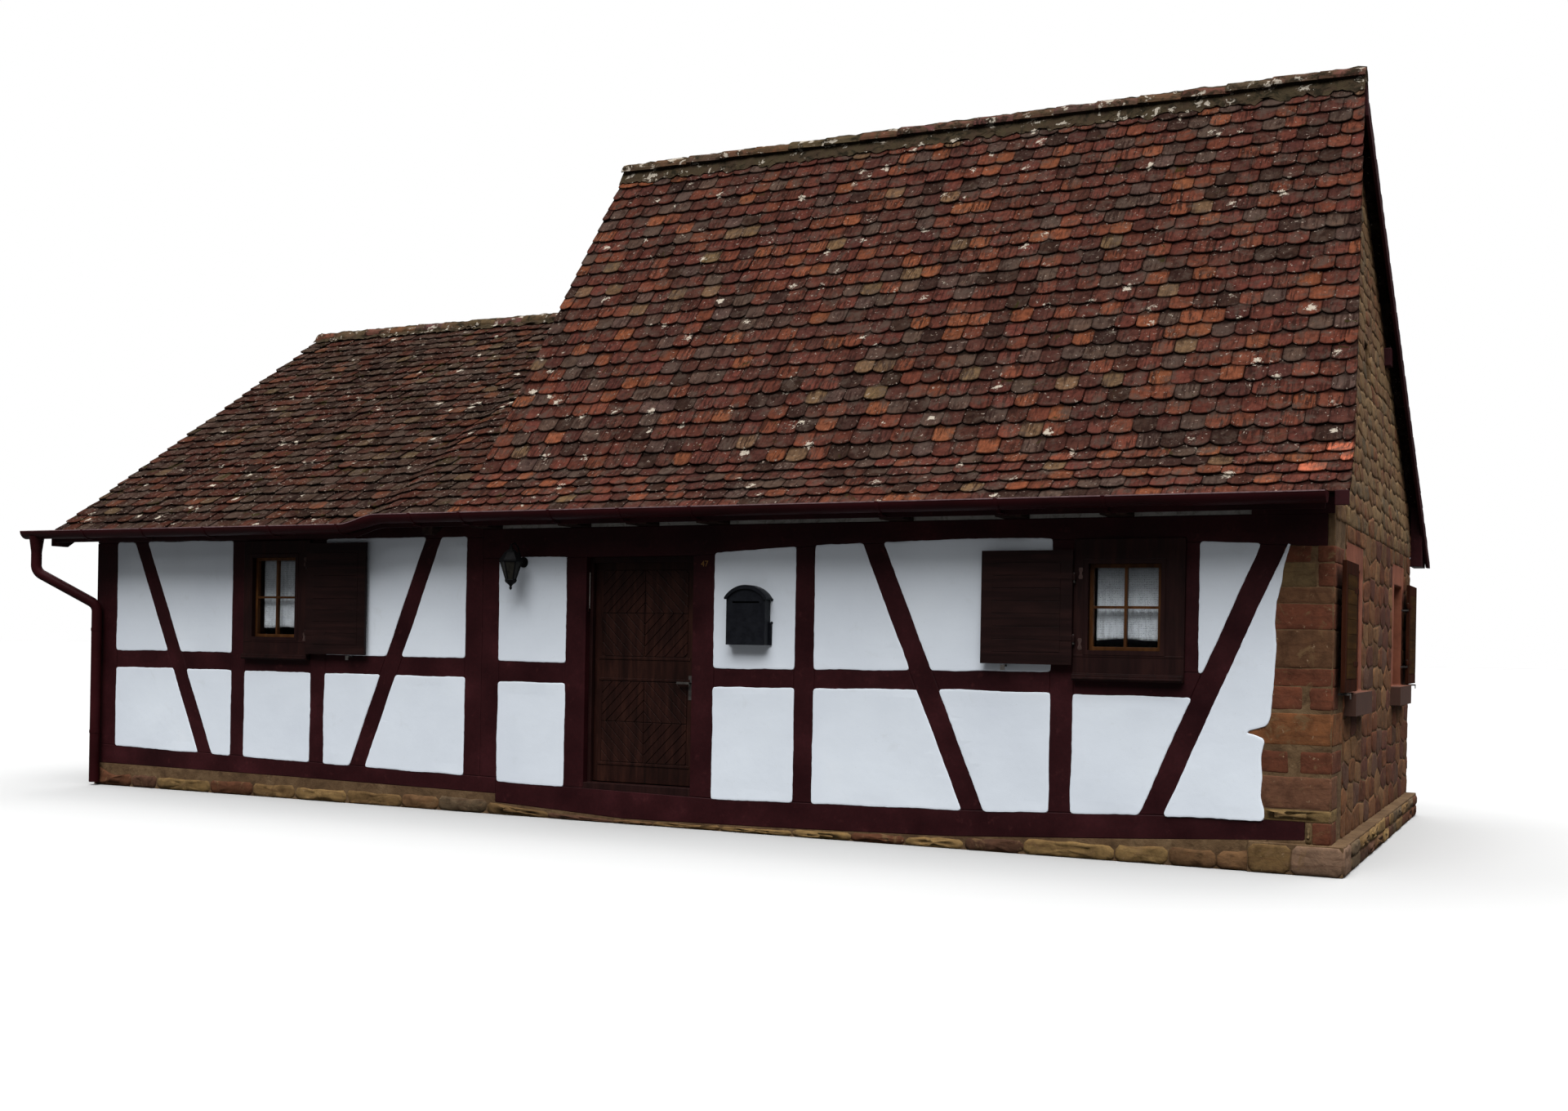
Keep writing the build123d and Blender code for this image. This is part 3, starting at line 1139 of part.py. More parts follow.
def bracket(x, top, bar, seat):
    """Strap under the gutter with a bar back to a joist end or a rafter tail."""
    plane = Plane(origin=(x - BRACKET_WIDTH / 2, gutter_y, top), x_dir=(0, 1, 0), z_dir=(1, 0, 0))
    radius = GUTTER_RADIUS + BRACKET_THICKNESS
    lower = Pos(0, -radius) * Rectangle(3 * radius, 2 * radius)
    ring = (Circle(radius) - Circle(GUTTER_RADIUS)) & lower
    strap = extrude(plane * ring, amount=BRACKET_WIDTH, dir=(1, 0, 0))
    x0, x1 = x - BRACKET_WIDTH / 2, x + BRACKET_WIDTH / 2
    riser = block(x0, x1, gutter_y - BRACKET_THICKNESS, gutter_y + BRACKET_THICKNESS, bar,
                  top - GUTTER_RADIUS - BRACKET_SLIT)
    rail = block(x0, x1, gutter_y - BRACKET_THICKNESS, -seat, bar, bar + BRACKET_BAR)
    return strap + riser + rail


front_gutter = gutter()
main_bar = MAIN_PLATE_TOP + BRACKET_BAR
brackets = [bracket(x, GUTTER_MAIN_TOP, main_bar, JOIST_END) for x in shown_joists]
for x in lower_joists:
    if x > sweep_end:
        brackets.append(bracket(x, GUTTER_MAIN_TOP, main_bar, RAFTER_TAIL))
    else:
        brackets.append(bracket(x, GUTTER_LEFT_TOP, LEFT_TAIL_SOFFIT, RAFTER_TAIL))
keep("front_gutter", front_gutter)
keep("gutter_brackets", *[each - front_gutter for each in brackets])


def downpipe():
    """Pipe from the outlet under the gutter, slanting to the corner post and down it."""
    outlet_bottom = GUTTER_LEFT_TOP - GUTTER_RADIUS - FUNNEL_LENGTH
    points = [(outlet_x, gutter_y, outlet_bottom), (outlet_x, gutter_y, PIPE_DIAGONAL_TOP),
              (pipe_x, pipe_y, PIPE_DIAGONAL_BOTTOM), (pipe_x, pipe_y, PIPE_FOOT)]
    path = FilletPolyline(*points, radius=PIPE_ELBOW_RADIUS)
    plane = Plane(origin=points[0], z_dir=(0, 0, -1))
    pipe = sweep(plane * (Circle(PIPE_RADIUS) - Circle(PIPE_RADIUS - PIPE_WALL)), path=path)
    wide = PIPE_RADIUS + FUNNEL_FLARE
    height = FUNNEL_LENGTH + FUNNEL_LAP
    outer = Cone(PIPE_RADIUS, wide, height)
    inner = Cone(PIPE_RADIUS - PIPE_WALL, wide - PIPE_WALL, height)
    funnel = Pos(outlet_x, gutter_y, outlet_bottom + height / 2) * (outer - inner)
    trough = Pos(outlet_x, gutter_y, GUTTER_LEFT_TOP) * Rot(0, 90, 0) * Cylinder(GUTTER_RADIUS, 4 * wide)
    return pipe + (funnel - trough)


def pipe_clip(z):
    """Ring round the pipe with a stub to the corner post."""
    ring = upright(pipe_x, pipe_y, z, z + CLIP_HEIGHT, PIPE_RADIUS + CLIP_WALL)
    ring = ring - upright(pipe_x, pipe_y, z, z + CLIP_HEIGHT, PIPE_RADIUS)
    stub = block(pipe_x - CLIP_STUB / 2, pipe_x + CLIP_STUB / 2, pipe_y + PIPE_RADIUS + CLIP_WALL / 2, 0, z,
                 z + CLIP_HEIGHT)
    return ring + stub


outlet_x = gutter_left + OUTLET_FROM_GUTTER_END
pipe_x = left_end + PIPE_FROM_LEFT_END
pipe_y = -PIPE_STANDOFF - PIPE_RADIUS
keep("downpipe", downpipe())
keep("pipe_clips", *[pipe_clip(z) for z in CLIP_HEIGHTS])


# Wall fittings

def lantern():
    """Six sided wall lantern hanging from a bracket."""
    x, y, z = -LANTERN_FROM_CORNER, PANEL_RECESS - LANTERN_REACH, LANTERN_HEIGHT
    width, height, thickness = LANTERN_PLATE
    back = PANEL_RECESS - thickness
    plate = block(x - width / 2, x + width / 2, back, PANEL_RECESS, z - height + LANTERN_ROD,
                  z + LANTERN_ROD)
    arm = block(x - LANTERN_ARM / 2, x + LANTERN_ARM / 2, y - LANTERN_ARM / 2, back, z - LANTERN_ARM, z)
    roof_top = z - 2 * LANTERN_ARM
    hanger = upright(x, y, roof_top, z, LANTERN_ROD)
    roof_low = roof_top - LANTERN_ROOF_HEIGHT
    cage_low = roof_low - LANTERN_CAGE_HEIGHT
    rings = [(LANTERN_ROD, roof_top), (LANTERN_ROOF, roof_low), (LANTERN_CAGE_TOP, roof_low),
             (LANTERN_CAGE_BOTTOM, cage_low), (LANTERN_CAGE_BOTTOM, cage_low),
             (LANTERN_ROD, cage_low - LANTERN_FOOT_HEIGHT)]
    faces = [Plane(origin=(x, y, height)) * RegularPolygon(radius, 6) for radius, height in rings]
    body = [loft(faces[i:i + 2], ruled=True) for i in (0, 2, 4)]
    return fuse([plate, arm, hanger] + body)


def arched(half, low, crown_rise, depth):
    """Upright box on the wall with an arched top, in the middle of the mailbox."""
    x, face, shoulder = -MAILBOX_FROM_CORNER, PANEL_RECESS, MAILBOX_SHOULDER
    sides = Polyline((x - half, face, shoulder), (x - half, face, low), (x + half, face, low),
                     (x + half, face, shoulder))
    crown = MAILBOX_CROWN + crown_rise
    arch = ThreePointArc((x + half, face, shoulder), (x, face, crown), (x - half, face, shoulder))
    return extrude(make_face([sides, arch]), amount=depth, dir=(0, -1, 0))


def mailbox():
    """Wall box with a letter slot under an arched hood, an apron and small knobs on its sides."""
    x, face, half = -MAILBOX_FROM_CORNER, PANEL_RECESS, MAILBOX_WIDTH / 2
    body = arched(half, MAILBOX_BOTTOM, 0, MAILBOX_DEPTH)
    proud = MAILBOX_HOOD_PROUD
    hood = arched(half + proud, MAILBOX_SHOULDER - proud, proud, MAILBOX_DEPTH + proud)
    hood = hood - arched(half - proud, MAILBOX_SHOULDER - proud, -proud, MAILBOX_DEPTH + proud)
    apron = block(x - MAILBOX_APRON_WIDTH / 2, x + MAILBOX_APRON_WIDTH / 2, face - MAILBOX_APRON_DEPTH, face,
                  MAILBOX_BOTTOM, MAILBOX_APRON_TOP)
    knobs = [Pos(x + side * (half + proud), face - MAILBOX_APRON_DEPTH / 2, z) * Sphere(MAILBOX_KNOB)
             for side in (-1, 1) for z in (MAILBOX_APRON_TOP, MAILBOX_SHOULDER - proud)]
    slot_top = MAILBOX_SHOULDER - 2 * proud
    slot = block(x - MAILBOX_SLOT_WIDTH / 2, x + MAILBOX_SLOT_WIDTH / 2, face - MAILBOX_DEPTH,
                 face - MAILBOX_DEPTH + MAILBOX_SLOT_DEPTH, slot_top - MAILBOX_SLOT_HEIGHT, slot_top)
    wall = block(x - 2 * half, x + 2 * half, face, TIMBER_DEPTH, 0, MAIN_PLATE_TOP)
    return cut(fuse([body, hood, apron] + knobs), [slot, wall])


keep("wall_lantern", lantern())
keep("mailbox", mailbox())


# Origin under the middle of the house, and one file for each sub-part

corners = [shape.bounding_box() for shape in NODES.values()]
origin_x = (min(c.min.X for c in corners) + max(c.max.X for c in corners)) / 2
origin_y = (min(c.min.Y for c in corners) + max(c.max.Y for c in corners)) / 2
origin_z = min(c.min.Z for c in corners)
to_origin = Pos(-origin_x, -origin_y, -origin_z)
os.makedirs("parts", exist_ok=True)
for name, shape in NODES.items():
    export_step(to_origin * shape, "parts/" + name + ".step")
print("origin", round(origin_x, 3), round(origin_y, 3), round(origin_z, 3))
for name, (x, y, z) in MARKS.items():
    print("axis", name, round(x - origin_x, 3), round(y - origin_y, 3), round(z - origin_z, 3))
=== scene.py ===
# Looks of a small half timbered house with one stone gable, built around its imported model.
# Metres. Most pieces are placed in the drawing's own coordinates: X runs along the front with 0
# at the stone corner and negative values to the left, Y runs into the depth from the front face.
import math
import random

import bmesh
import bpy
import numpy as np
from mathutils import Matrix, Vector, noise
from mathutils.geometry import delaunay_2d_cdt


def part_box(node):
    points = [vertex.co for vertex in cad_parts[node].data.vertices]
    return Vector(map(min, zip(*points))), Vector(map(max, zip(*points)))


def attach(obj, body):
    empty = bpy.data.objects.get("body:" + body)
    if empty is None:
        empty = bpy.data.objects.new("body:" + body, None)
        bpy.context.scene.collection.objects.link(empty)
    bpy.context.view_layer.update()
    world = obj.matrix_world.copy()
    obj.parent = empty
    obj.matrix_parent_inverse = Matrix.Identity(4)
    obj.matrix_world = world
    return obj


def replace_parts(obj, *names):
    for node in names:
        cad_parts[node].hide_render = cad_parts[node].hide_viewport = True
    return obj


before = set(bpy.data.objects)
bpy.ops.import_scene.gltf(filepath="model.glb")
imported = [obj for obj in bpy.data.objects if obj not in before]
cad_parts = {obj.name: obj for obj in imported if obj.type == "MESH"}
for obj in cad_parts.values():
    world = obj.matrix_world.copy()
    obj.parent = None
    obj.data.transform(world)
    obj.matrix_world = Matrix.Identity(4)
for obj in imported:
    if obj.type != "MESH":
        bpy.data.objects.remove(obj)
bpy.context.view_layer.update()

# Where the drawing's origin lies in the shared frame
FOOTING_PROUD = 0.090
corner_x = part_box("gable_wall")[1].x - FOOTING_PROUD
face_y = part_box("main_front_posts")[0].y

# Camera, at the place from which the house was photographed
CAMERA_X = 1.584
CAMERA_Y = -11.646
CAMERA_HEIGHT = 1.523
CAMERA_YAW = 26.37
CAMERA_ROLL = 1.0
CAMERA_LENS = 37.44
CAMERA_SHIFT_Y = 0.0568

# Roofs
FRONT_OVERHANG = 0.330
MAIN_EAVE_Z = 2.610
LEFT_EAVE_Z = 2.530
FOOT_RUN = 0.470
FOOT_PITCH = 40
SWEEP_START_X = -8.360
SWEEP_END_X = -7.960
TILE_LAYER = 0.060
UNDERLAY_TOP = 0.036
TILE_WIDTH = 0.178
TILE_EXPOSURE = 0.160
FOOT_EXPOSURE = 0.128
TILE_LENGTH = 0.200
TILE_THICKNESS = 0.017
TILE_TOP = 0.004
TILE_ARC = 0.034
TILE_GAP = 0.0015
TILE_CAMBER = 0.0025
TILE_NOSE_RUN = 0.009
TILE_NOSE_SINK = 0.0035
TILE_LIGHT = 0.66
UNDERLAY_INSET = 0.012
VERGE_LEAN = 0.0802
RIDGE_TILE = 0.370
RIDGE_LAP = 0.045
RIDGE_THICKNESS = 0.016
RIDGE_RADIUS = 0.115
RIDGE_CREST = 0.036
SWEEP_STEPS = 9

# Plaster
PLASTER_SINK = 0.010
PLASTER_LAP = 0.007
PLASTER_STEP = 0.028
PLASTER_CORNER = 0.022
PLASTER_PROUD = 0.004
PLASTER_GRID = 0.085

# Masonry
STONE_FOOT = 0.001
STONE_SINK = 0.020
BOTTOM_COURSE = 0.004
RUBBLE_PROUD = 0.006
UPPER_RUBBLE_PROUD = 0.009
SMALLEST_RUBBLE = 0.003
SMALLEST_STONE = 0.004
QUOIN_PROUD = 0.004
QUOIN_CLOSER = 0.003
QUOIN_WEAR = {"rough": 0.002, "wear": 0.009, "wander": 0.004}
PLASTER_COVER = 0.025
PLASTER_AT_CORNER = 0.013
MORTAR_JOINT = 0.010

# Surfaces
SHEEN = 0.10
LICHEN_SPACING = 4.4
GABLE_SILL_TOP = 1.250
SILL_BLEND = 0.002
LACE_SHADE = (1.86, 1.98)
SHARP_ANGLE = 35
JOIN_DISTANCE = 0.0002
FACING = 0.995


def level(value):
    """One part of a colour, from 0 to 255 on a screen, as the light it stands for."""
    value = value / 255
    return value / 12.92 if value <= 0.04045 else ((value + 0.055) / 1.055) ** 2.4


def colour(red, green, blue):
    """A screen colour as the numbers that a shader takes."""
    return (level(red), level(green), level(blue), 1.0)


def to_frame(points):
    """Points in the drawing's coordinates as points in the shared frame."""
    return [(x + corner_x, y + face_y, z) for x, y, z in points]


def drawn_box(node):
    """Lowest and highest corner of a node in the drawing's coordinates."""
    low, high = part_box(node)
    shift = Vector((corner_x, face_y, 0))
    return low - shift, high - shift


def lit(screen, light=1.0):
    """A screen colour as the tone of a tile or stone, lighter or darker by a factor."""
    return tuple(level(part) * light for part in screen)


def ripple(u, v, seed):
    """Smooth unevenness between about -1 and 1, the same each time for the same place."""
    return noise.noise(Vector((u, v, seed)))


def put_in_scene(name, data):
    """A new object in the scene that shows a mesh, text, lamp or lens."""
    made = bpy.data.objects.new(name, data)
    bpy.context.scene.collection.objects.link(made)
    return made


# Materials

class Finish:
    """A procedural material under construction."""

    def __init__(self, name, roughness, base, **sockets):
        self.material = bpy.data.materials.new(name)
        self.material.use_nodes = True
        self.tree = self.material.node_tree
        self.shader = self.tree.nodes["Principled BSDF"]
        self.shader.inputs["Roughness"].default_value = roughness
        self.shader.inputs["Base Color"].default_value = base
        self.shader.inputs["Specular IOR Level"].default_value = SHEEN
        for socket, value in sockets.items():
            self.shader.inputs[socket.replace("_", " ")].default_value = value
        self.place = self.add("ShaderNodeTexCoord").outputs["Object"]

    def add(self, kind):
        return self.tree.nodes.new(kind)

    def join(self, source, target):
        self.tree.links.new(source, target)

    def feed(self, socket, value):
        """Sets a socket to a number or colour, or joins the output of another node to it."""
        if isinstance(value, (int, float, tuple)):
            socket.default_value = value
        else:
            self.join(value, socket)

    def stretched(self, scale):
        """The place, with each axis scaled by itself where a scale is given."""
        if not scale:
            return self.place
        node = self.add("ShaderNodeMapping")
        node.inputs["Scale"].default_value = scale
        self.join(self.place, node.inputs["Vector"])
        return node.outputs["Vector"]

    def noise(self, scale, detail=4.0, distortion=0.0, stretch=None, rough=0.55):
        node = self.add("ShaderNodeTexNoise")
        node.inputs["Scale"].default_value = scale
        node.inputs["Detail"].default_value = detail
        node.inputs["Roughness"].default_value = rough
        node.inputs["Distortion"].default_value = distortion
        self.join(self.stretched(stretch), node.inputs["Vector"])
        return node.outputs["Fac"]

    def cells(self, scale, stretch=None, feature="F1", scatter=1.0):
        node = self.add("ShaderNodeTexVoronoi")
        node.feature = feature
        node.inputs["Scale"].default_value = scale
        node.inputs["Randomness"].default_value = scatter
        self.join(self.stretched(stretch), node.inputs["Vector"])
        return node.outputs["Distance"]

    def height(self):
        """How high a place lies above the ground."""
        node = self.add("ShaderNodeSeparateXYZ")
        self.join(self.place, node.inputs[0])
        return node.outputs["Z"]

    def own_tone(self):
        """The tone that each tile or stone carries. On the tiles it holds painted shade as well."""
        node = self.add("ShaderNodeAttribute")
        node.attribute_name = "tone"
        return node.outputs["Color"]

    def spread(self, value, low, high, to_low=0.0, to_high=1.0):
        """A value moved from one range to another, and kept in it."""
        node = self.add("ShaderNodeMapRange")
        sockets = ("From Min", "From Max", "To Min", "To Max")
        for name, number in zip(sockets, (low, high, to_low, to_high)):
            node.inputs[name].default_value = number
        self.join(value, node.inputs["Value"])
        return node.outputs["Result"]

    def maths(self, kind, first, second):
        node = self.add("ShaderNodeMath")
        node.operation = kind
        for socket, value in zip(node.inputs, (first, second)):
            self.feed(socket, value)
        return node.outputs["Value"]

    def mix(self, factor, first, second, blend="MIX"):
        node = self.add("ShaderNodeMix")
        node.data_type = "RGBA"
        node.blend_type = blend
        for index, value in ((0, factor), (6, first), (7, second)):
            self.feed(node.inputs[index], value)
        return node.outputs[2]

    def ramp(self, value, stops):
        node = self.add("ShaderNodeValToRGB")
        band = node.color_ramp
        while len(band.elements) < len(stops):
            band.elements.new(0.5)
        for element, (place, tint) in zip(band.elements, stops):
            element.position = place
            element.color = tint
        self.join(value, node.inputs["Fac"])
        return node.outputs["Color"]

    def tints(self, value, *stops):
        """A ramp between screen colours."""
        return self.ramp(value, [(place, colour(*tint)) for place, tint in stops])

    def stain(self, tint, pattern, low, high, share, stained):
        """A tint with up to a share of a screen colour over it, as a pattern rises from low to high."""
        return self.mix(self.spread(pattern, low, high, 0.0, share), tint, colour(*stained))

    def mottled_tone(self, pattern, dark, light):
        """The tone of each tile or stone, made darker and lighter in patches."""
        shade = self.ramp(pattern, [dark, (0.5, (1, 1, 1, 1)), light])
        return self.mix(1.0, self.own_tone(), shade, "MULTIPLY")

    def paint(self, value):
        self.join(value, self.shader.inputs["Base Color"])

    def gloss(self, value):
        self.join(value, self.shader.inputs["Roughness"])

    def bump(self, height, strength, distance):
        node = self.add("ShaderNodeBump")
        node.inputs["Strength"].default_value = strength
        node.inputs["Distance"].default_value = distance
        self.join(height, node.inputs["Height"])
        previous = self.shader.inputs["Normal"]
        if previous.is_linked:
            self.join(previous.links[0].from_socket, node.inputs["Normal"])
        self.join(node.outputs["Normal"], previous)


def timber_finish():
    """Hand hewn oak under old oxblood paint."""
    finish = Finish("oxblood_timber", 0.52, colour(42, 13, 16))
    broad = finish.noise(2.3, 5.0)
    tint = finish.tints(broad, (0.3, (33, 9, 12)), (0.55, (45, 14, 17)), (0.75, (58, 21, 25)))
    tint = finish.stain(tint, finish.noise(11.0, 6.0, rough=0.7), 0.60, 0.72, 0.35, (84, 42, 42))
    finish.paint(finish.stain(tint, finish.noise(38.0, 4.0), 0.3, 0.7, 0.35, (20, 6, 8)))
    finish.gloss(finish.spread(broad, 0.3, 0.7, 0.42, 0.66))
    finish.bump(finish.noise(3.5, 3.0), 0.7, 0.012)
    finish.bump(finish.noise(24.0, 5.0, stretch=(1.0, 1.0, 0.45)), 0.45, 0.003)
    return finish.material


def metal_paint_finish():
    """Painted sheet metal with dust in streaks."""
    finish = Finish("oxblood_metal", 0.42, colour(44, 12, 14), Specular_IOR_Level=0.07)
    broad = finish.noise(1.6, 4.0)
    tint = finish.tints(broad, (0.3, (34, 8, 10)), (0.7, (50, 13, 17)))
    dust = finish.noise(14.0, 6.0, stretch=(0.3, 1.0, 1.0), rough=0.7)
    finish.paint(finish.stain(tint, dust, 0.55, 0.75, 0.3, (58, 32, 30)))
    finish.gloss(finish.spread(broad, 0.3, 0.7, 0.38, 0.55))
    finish.bump(finish.noise(30.0, 3.0), 0.15, 0.001)
    return finish.material


def old_timber_finish():
    """Unpainted rafters and joists, grey brown with age."""
    finish = Finish("old_timber", 0.8, colour(52, 40, 32))
    grain = finish.noise(26.0, 5.0, 0.4, (1.0, 0.12, 0.5))
    finish.paint(finish.tints(grain, (0.25, (20, 12, 10)), (0.55, (38, 24, 20)), (0.8, (58, 42, 34))))
    finish.bump(grain, 0.5, 0.004)
    return finish.material


def board_finish(name, dark, middle, light, stretch, roughness=0.5, shine=SHEEN):
    """Stained boards with their grain along one axis."""
    finish = Finish(name, roughness, colour(*middle), Specular_IOR_Level=shine)
    grain = finish.noise(18.0, 6.0, 0.5, stretch, 0.6)
    tint = finish.tints(grain, (0.25, dark), (0.5, middle), (0.78, light))
    finish.paint(finish.stain(tint, finish.noise(3.0, 5.0), 0.45, 0.7, 0.5, dark))
    finish.gloss(finish.spread(grain, 0.2, 0.8, roughness - 0.12, roughness + 0.12))
    finish.bump(finish.noise(60.0, 5.0, 0.3, stretch), 0.35, 0.0015)
    return finish.material


def plaster_finish():
    """White limewash over trowelled plaster."""
    finish = Finish("white_plaster", 0.86, colour(213, 220, 228))
    broad = finish.noise(0.9, 5.0)
    tint = finish.tints(broad, (0.3, (205, 212, 221)), (0.6, (214, 221, 229)), (0.8, (220, 225, 231)))
    tint = finish.stain(tint, finish.noise(5.0, 7.0, 0.6, rough=0.68), 0.60, 0.78, 0.30, (186, 190, 192))
    finish.paint(finish.stain(tint, finish.noise(85.0, 3.0), 0.68, 0.76, 0.35, (168, 168, 164)))
    finish.bump(finish.noise(2.6, 3.0), 0.35, 0.012)
    finish.bump(finish.noise(14.0, 5.0, 0.5), 0.30, 0.003)
    finish.bump(finish.noise(120.0, 3.0), 0.22, 0.0008)
    return finish.material


def tile_finish(name, moss_level, lichen_level, fleck_level):
    """Hand made plain tiles: each has its own tone with painted shade at its edges and under the next row,
    streaks down the slope, stains, lichen and moss.
    """
    finish = Finish(name, 0.85, colour(80, 50, 42), Specular_IOR_Level=0.0)
    mottled = finish.noise(17.0, 6.0, 0.6, rough=0.7)
    tint = finish.mottled_tone(mottled, (0.28, (0.40, 0.38, 0.38, 1)), (0.75, (1.45, 1.36, 1.25, 1)))
    streaks = finish.noise(1.0, 4.0, 0.5, (44.0, 6.0, 6.0), 0.6)
    zone = finish.spread(finish.noise(4.5, 2.0), 0.42, 0.56, 0.3, 1.0)
    streak = finish.maths("MULTIPLY", finish.spread(streaks, 0.47, 0.57), zone)
    tint = finish.mix(finish.maths("MULTIPLY", streak, 0.8), tint, colour(30, 19, 16))
    tint = finish.stain(tint, finish.noise(7.0, 6.0, 0.4, rough=0.72), 0.50, 0.64, 0.7, (60, 50, 44))
    moss = finish.noise(6.0, 7.0, 0.8, rough=0.72)
    tint = finish.stain(tint, moss, moss_level, moss_level + 0.05, 0.85, (36, 32, 15))
    ragged = finish.spread(finish.noise(26.0, 6.0, 0.5, rough=0.7), 0.3, 0.7, -0.20, 0.20)
    reach = finish.maths("ADD", finish.cells(LICHEN_SPACING), ragged)
    chosen = finish.spread(finish.noise(2.6, 2.0), lichen_level, lichen_level + 0.02)
    lichen = finish.maths("MULTIPLY", finish.spread(reach, 0.08, 0.15, 1.0, 0.0), chosen)
    tint = finish.mix(finish.maths("MULTIPLY", lichen, 0.92), tint, colour(150, 141, 128))
    flecks = finish.noise(34.0, 5.0, 0.4, rough=0.62)
    finish.paint(finish.stain(tint, flecks, fleck_level, fleck_level + 0.04, 0.8, (124, 112, 102)))
    finish.bump(finish.noise(22.0, 6.0, rough=0.65), 0.6, 0.005)
    finish.bump(streaks, 0.45, 0.003)
    finish.bump(finish.noise(140.0, 3.0), 0.35, 0.001)
    return finish.material


def stone_finish(name, mortar_share):
    """Dressed and rubble sandstone with its own tone for each block, smeared with lime mortar."""
    finish = Finish(name, 0.9, colour(96, 60, 42))
    mottled = finish.noise(9.0, 7.0, 0.6, rough=0.68)
    tint = finish.mottled_tone(mottled, (0.25, (0.45, 0.42, 0.40, 1)), (0.78, (1.4, 1.32, 1.22, 1)))
    beds = finish.noise(5.0, 5.0, 1.2, (0.6, 0.6, 5.0), 0.6)
    tint = finish.stain(tint, beds, 0.52, 0.64, 0.4, (62, 38, 26))
    smear = finish.noise(6.5, 7.0, 0.9, rough=0.72)
    tint = finish.stain(tint, smear, 0.60 - mortar_share, 0.68 - mortar_share, 0.8, (98, 76, 52))
    flakes = finish.noise(24.0, 6.0, 0.4, rough=0.65)
    finish.paint(finish.stain(tint, flakes, 0.655, 0.70, 0.8, (134, 112, 88)))
    finish.bump(finish.noise(7.0, 6.0, 0.5, rough=0.6), 0.75, 0.016)
    finish.bump(finish.noise(42.0, 5.0, rough=0.65), 0.55, 0.004)
    return finish.material


def mortar_finish(name, dark, middle, light):
    """Lime mortar with dirt in patches."""
    finish = Finish(name, 0.93, colour(*middle))
    broad = finish.noise(4.0, 6.0, 0.4, rough=0.65)
    tint = finish.tints(broad, (0.28, dark), (0.5, middle), (0.78, light))
    dirt = finish.noise(13.0, 7.0, 0.6, rough=0.7)
    finish.paint(finish.stain(tint, dirt, 0.52, 0.70, 0.7, (54, 38, 26)))
    finish.bump(finish.noise(9.0, 6.0, 0.5, rough=0.65), 0.8, 0.018)
    finish.bump(finish.noise(70.0, 5.0), 0.6, 0.004)
    return finish.material


def ridge_finish():
    """Ridge tiles and mortar under moss and lichen."""
    finish = Finish("mossy_ridge", 0.92, colour(70, 56, 46), Specular_IOR_Level=0.0)
    moss = finish.noise(5.5, 7.0, 0.7, rough=0.7)
    tint = finish.stain(finish.own_tone(), moss, 0.42, 0.58, 0.75, (54, 47, 34))
    tint = finish.stain(tint, finish.noise(8.0, 7.0, 0.5, rough=0.72), 0.50, 0.60, 0.85, (26, 24, 18))
    lichen = finish.noise(9.0, 6.0, 0.4, rough=0.66)
    finish.paint(finish.stain(tint, lichen, 0.585, 0.615, 0.85, (148, 140, 128)))
    finish.bump(finish.noise(16.0, 7.0, rough=0.7), 0.8, 0.012)
    finish.bump(finish.noise(90.0, 4.0), 0.5, 0.003)
    return finish.material


def surround_finish():
    """Dressed pink stone, darker grey brown below the top of the sill."""
    finish = Finish("pink_sandstone", 0.88, colour(120, 70, 54), Specular_IOR_Level=0.15)
    broad = finish.noise(4.0, 6.0, 0.4, rough=0.62)
    tint = finish.tints(broad, (0.25, (90, 50, 36)), (0.55, (120, 70, 52)), (0.8, (142, 90, 68)))
    tint = finish.stain(tint, finish.noise(16.0, 6.0, rough=0.7), 0.58, 0.70, 0.5, (76, 50, 38))
    sill = finish.spread(finish.height(), GABLE_SILL_TOP - SILL_BLEND, GABLE_SILL_TOP + SILL_BLEND, 0.85, 0.0)
    finish.paint(finish.mix(sill, tint, colour(52, 40, 35)))
    finish.bump(finish.noise(30.0, 5.0, 0.3, (1.0, 1.0, 0.4)), 0.5, 0.004)
    return finish.material


def iron_finish(name, dark, light, roughness, metallic=0.0):
    """Metal or old glass with two tones in patches."""
    finish = Finish(name, roughness, colour(*dark), Metallic=metallic)
    patches = finish.noise(20.0, 6.0, rough=0.65)
    finish.paint(finish.tints(patches, (0.3, dark), (0.7, light)))
    finish.gloss(finish.spread(patches, 0.3, 0.7, roughness - 0.1, roughness + 0.15))
    finish.bump(finish.noise(70.0, 4.0), 0.3, 0.001)
    return finish.material


def floor_slab_finish():
    """Large grey floor stones with dark joints."""
    finish = Finish("stone_floor", 0.85, colour(96, 90, 82))
    patches = finish.noise(2.5, 6.0)
    joints = finish.cells(2.2, feature="DISTANCE_TO_EDGE")
    tint = finish.tints(patches, (0.3, (74, 68, 62)), (0.7, (112, 105, 95)))
    finish.paint(finish.mix(finish.spread(joints, 0.0, 0.03, 1.0, 0.0), tint, colour(48, 44, 40)))
    finish.bump(finish.spread(joints, 0.0, 0.04), 0.5, 0.004)
    return finish.material


def glass_finish():
    """Thin window glass with a slight wave."""
    finish = Finish("window_glass", 0.04, colour(205, 214, 216), Transmission_Weight=1.0, IOR=1.02)
    finish.shader.inputs["Alpha"].default_value = 0.25
    finish.bump(finish.noise(6.0, 2.0), 0.12, 0.004)
    return finish.material


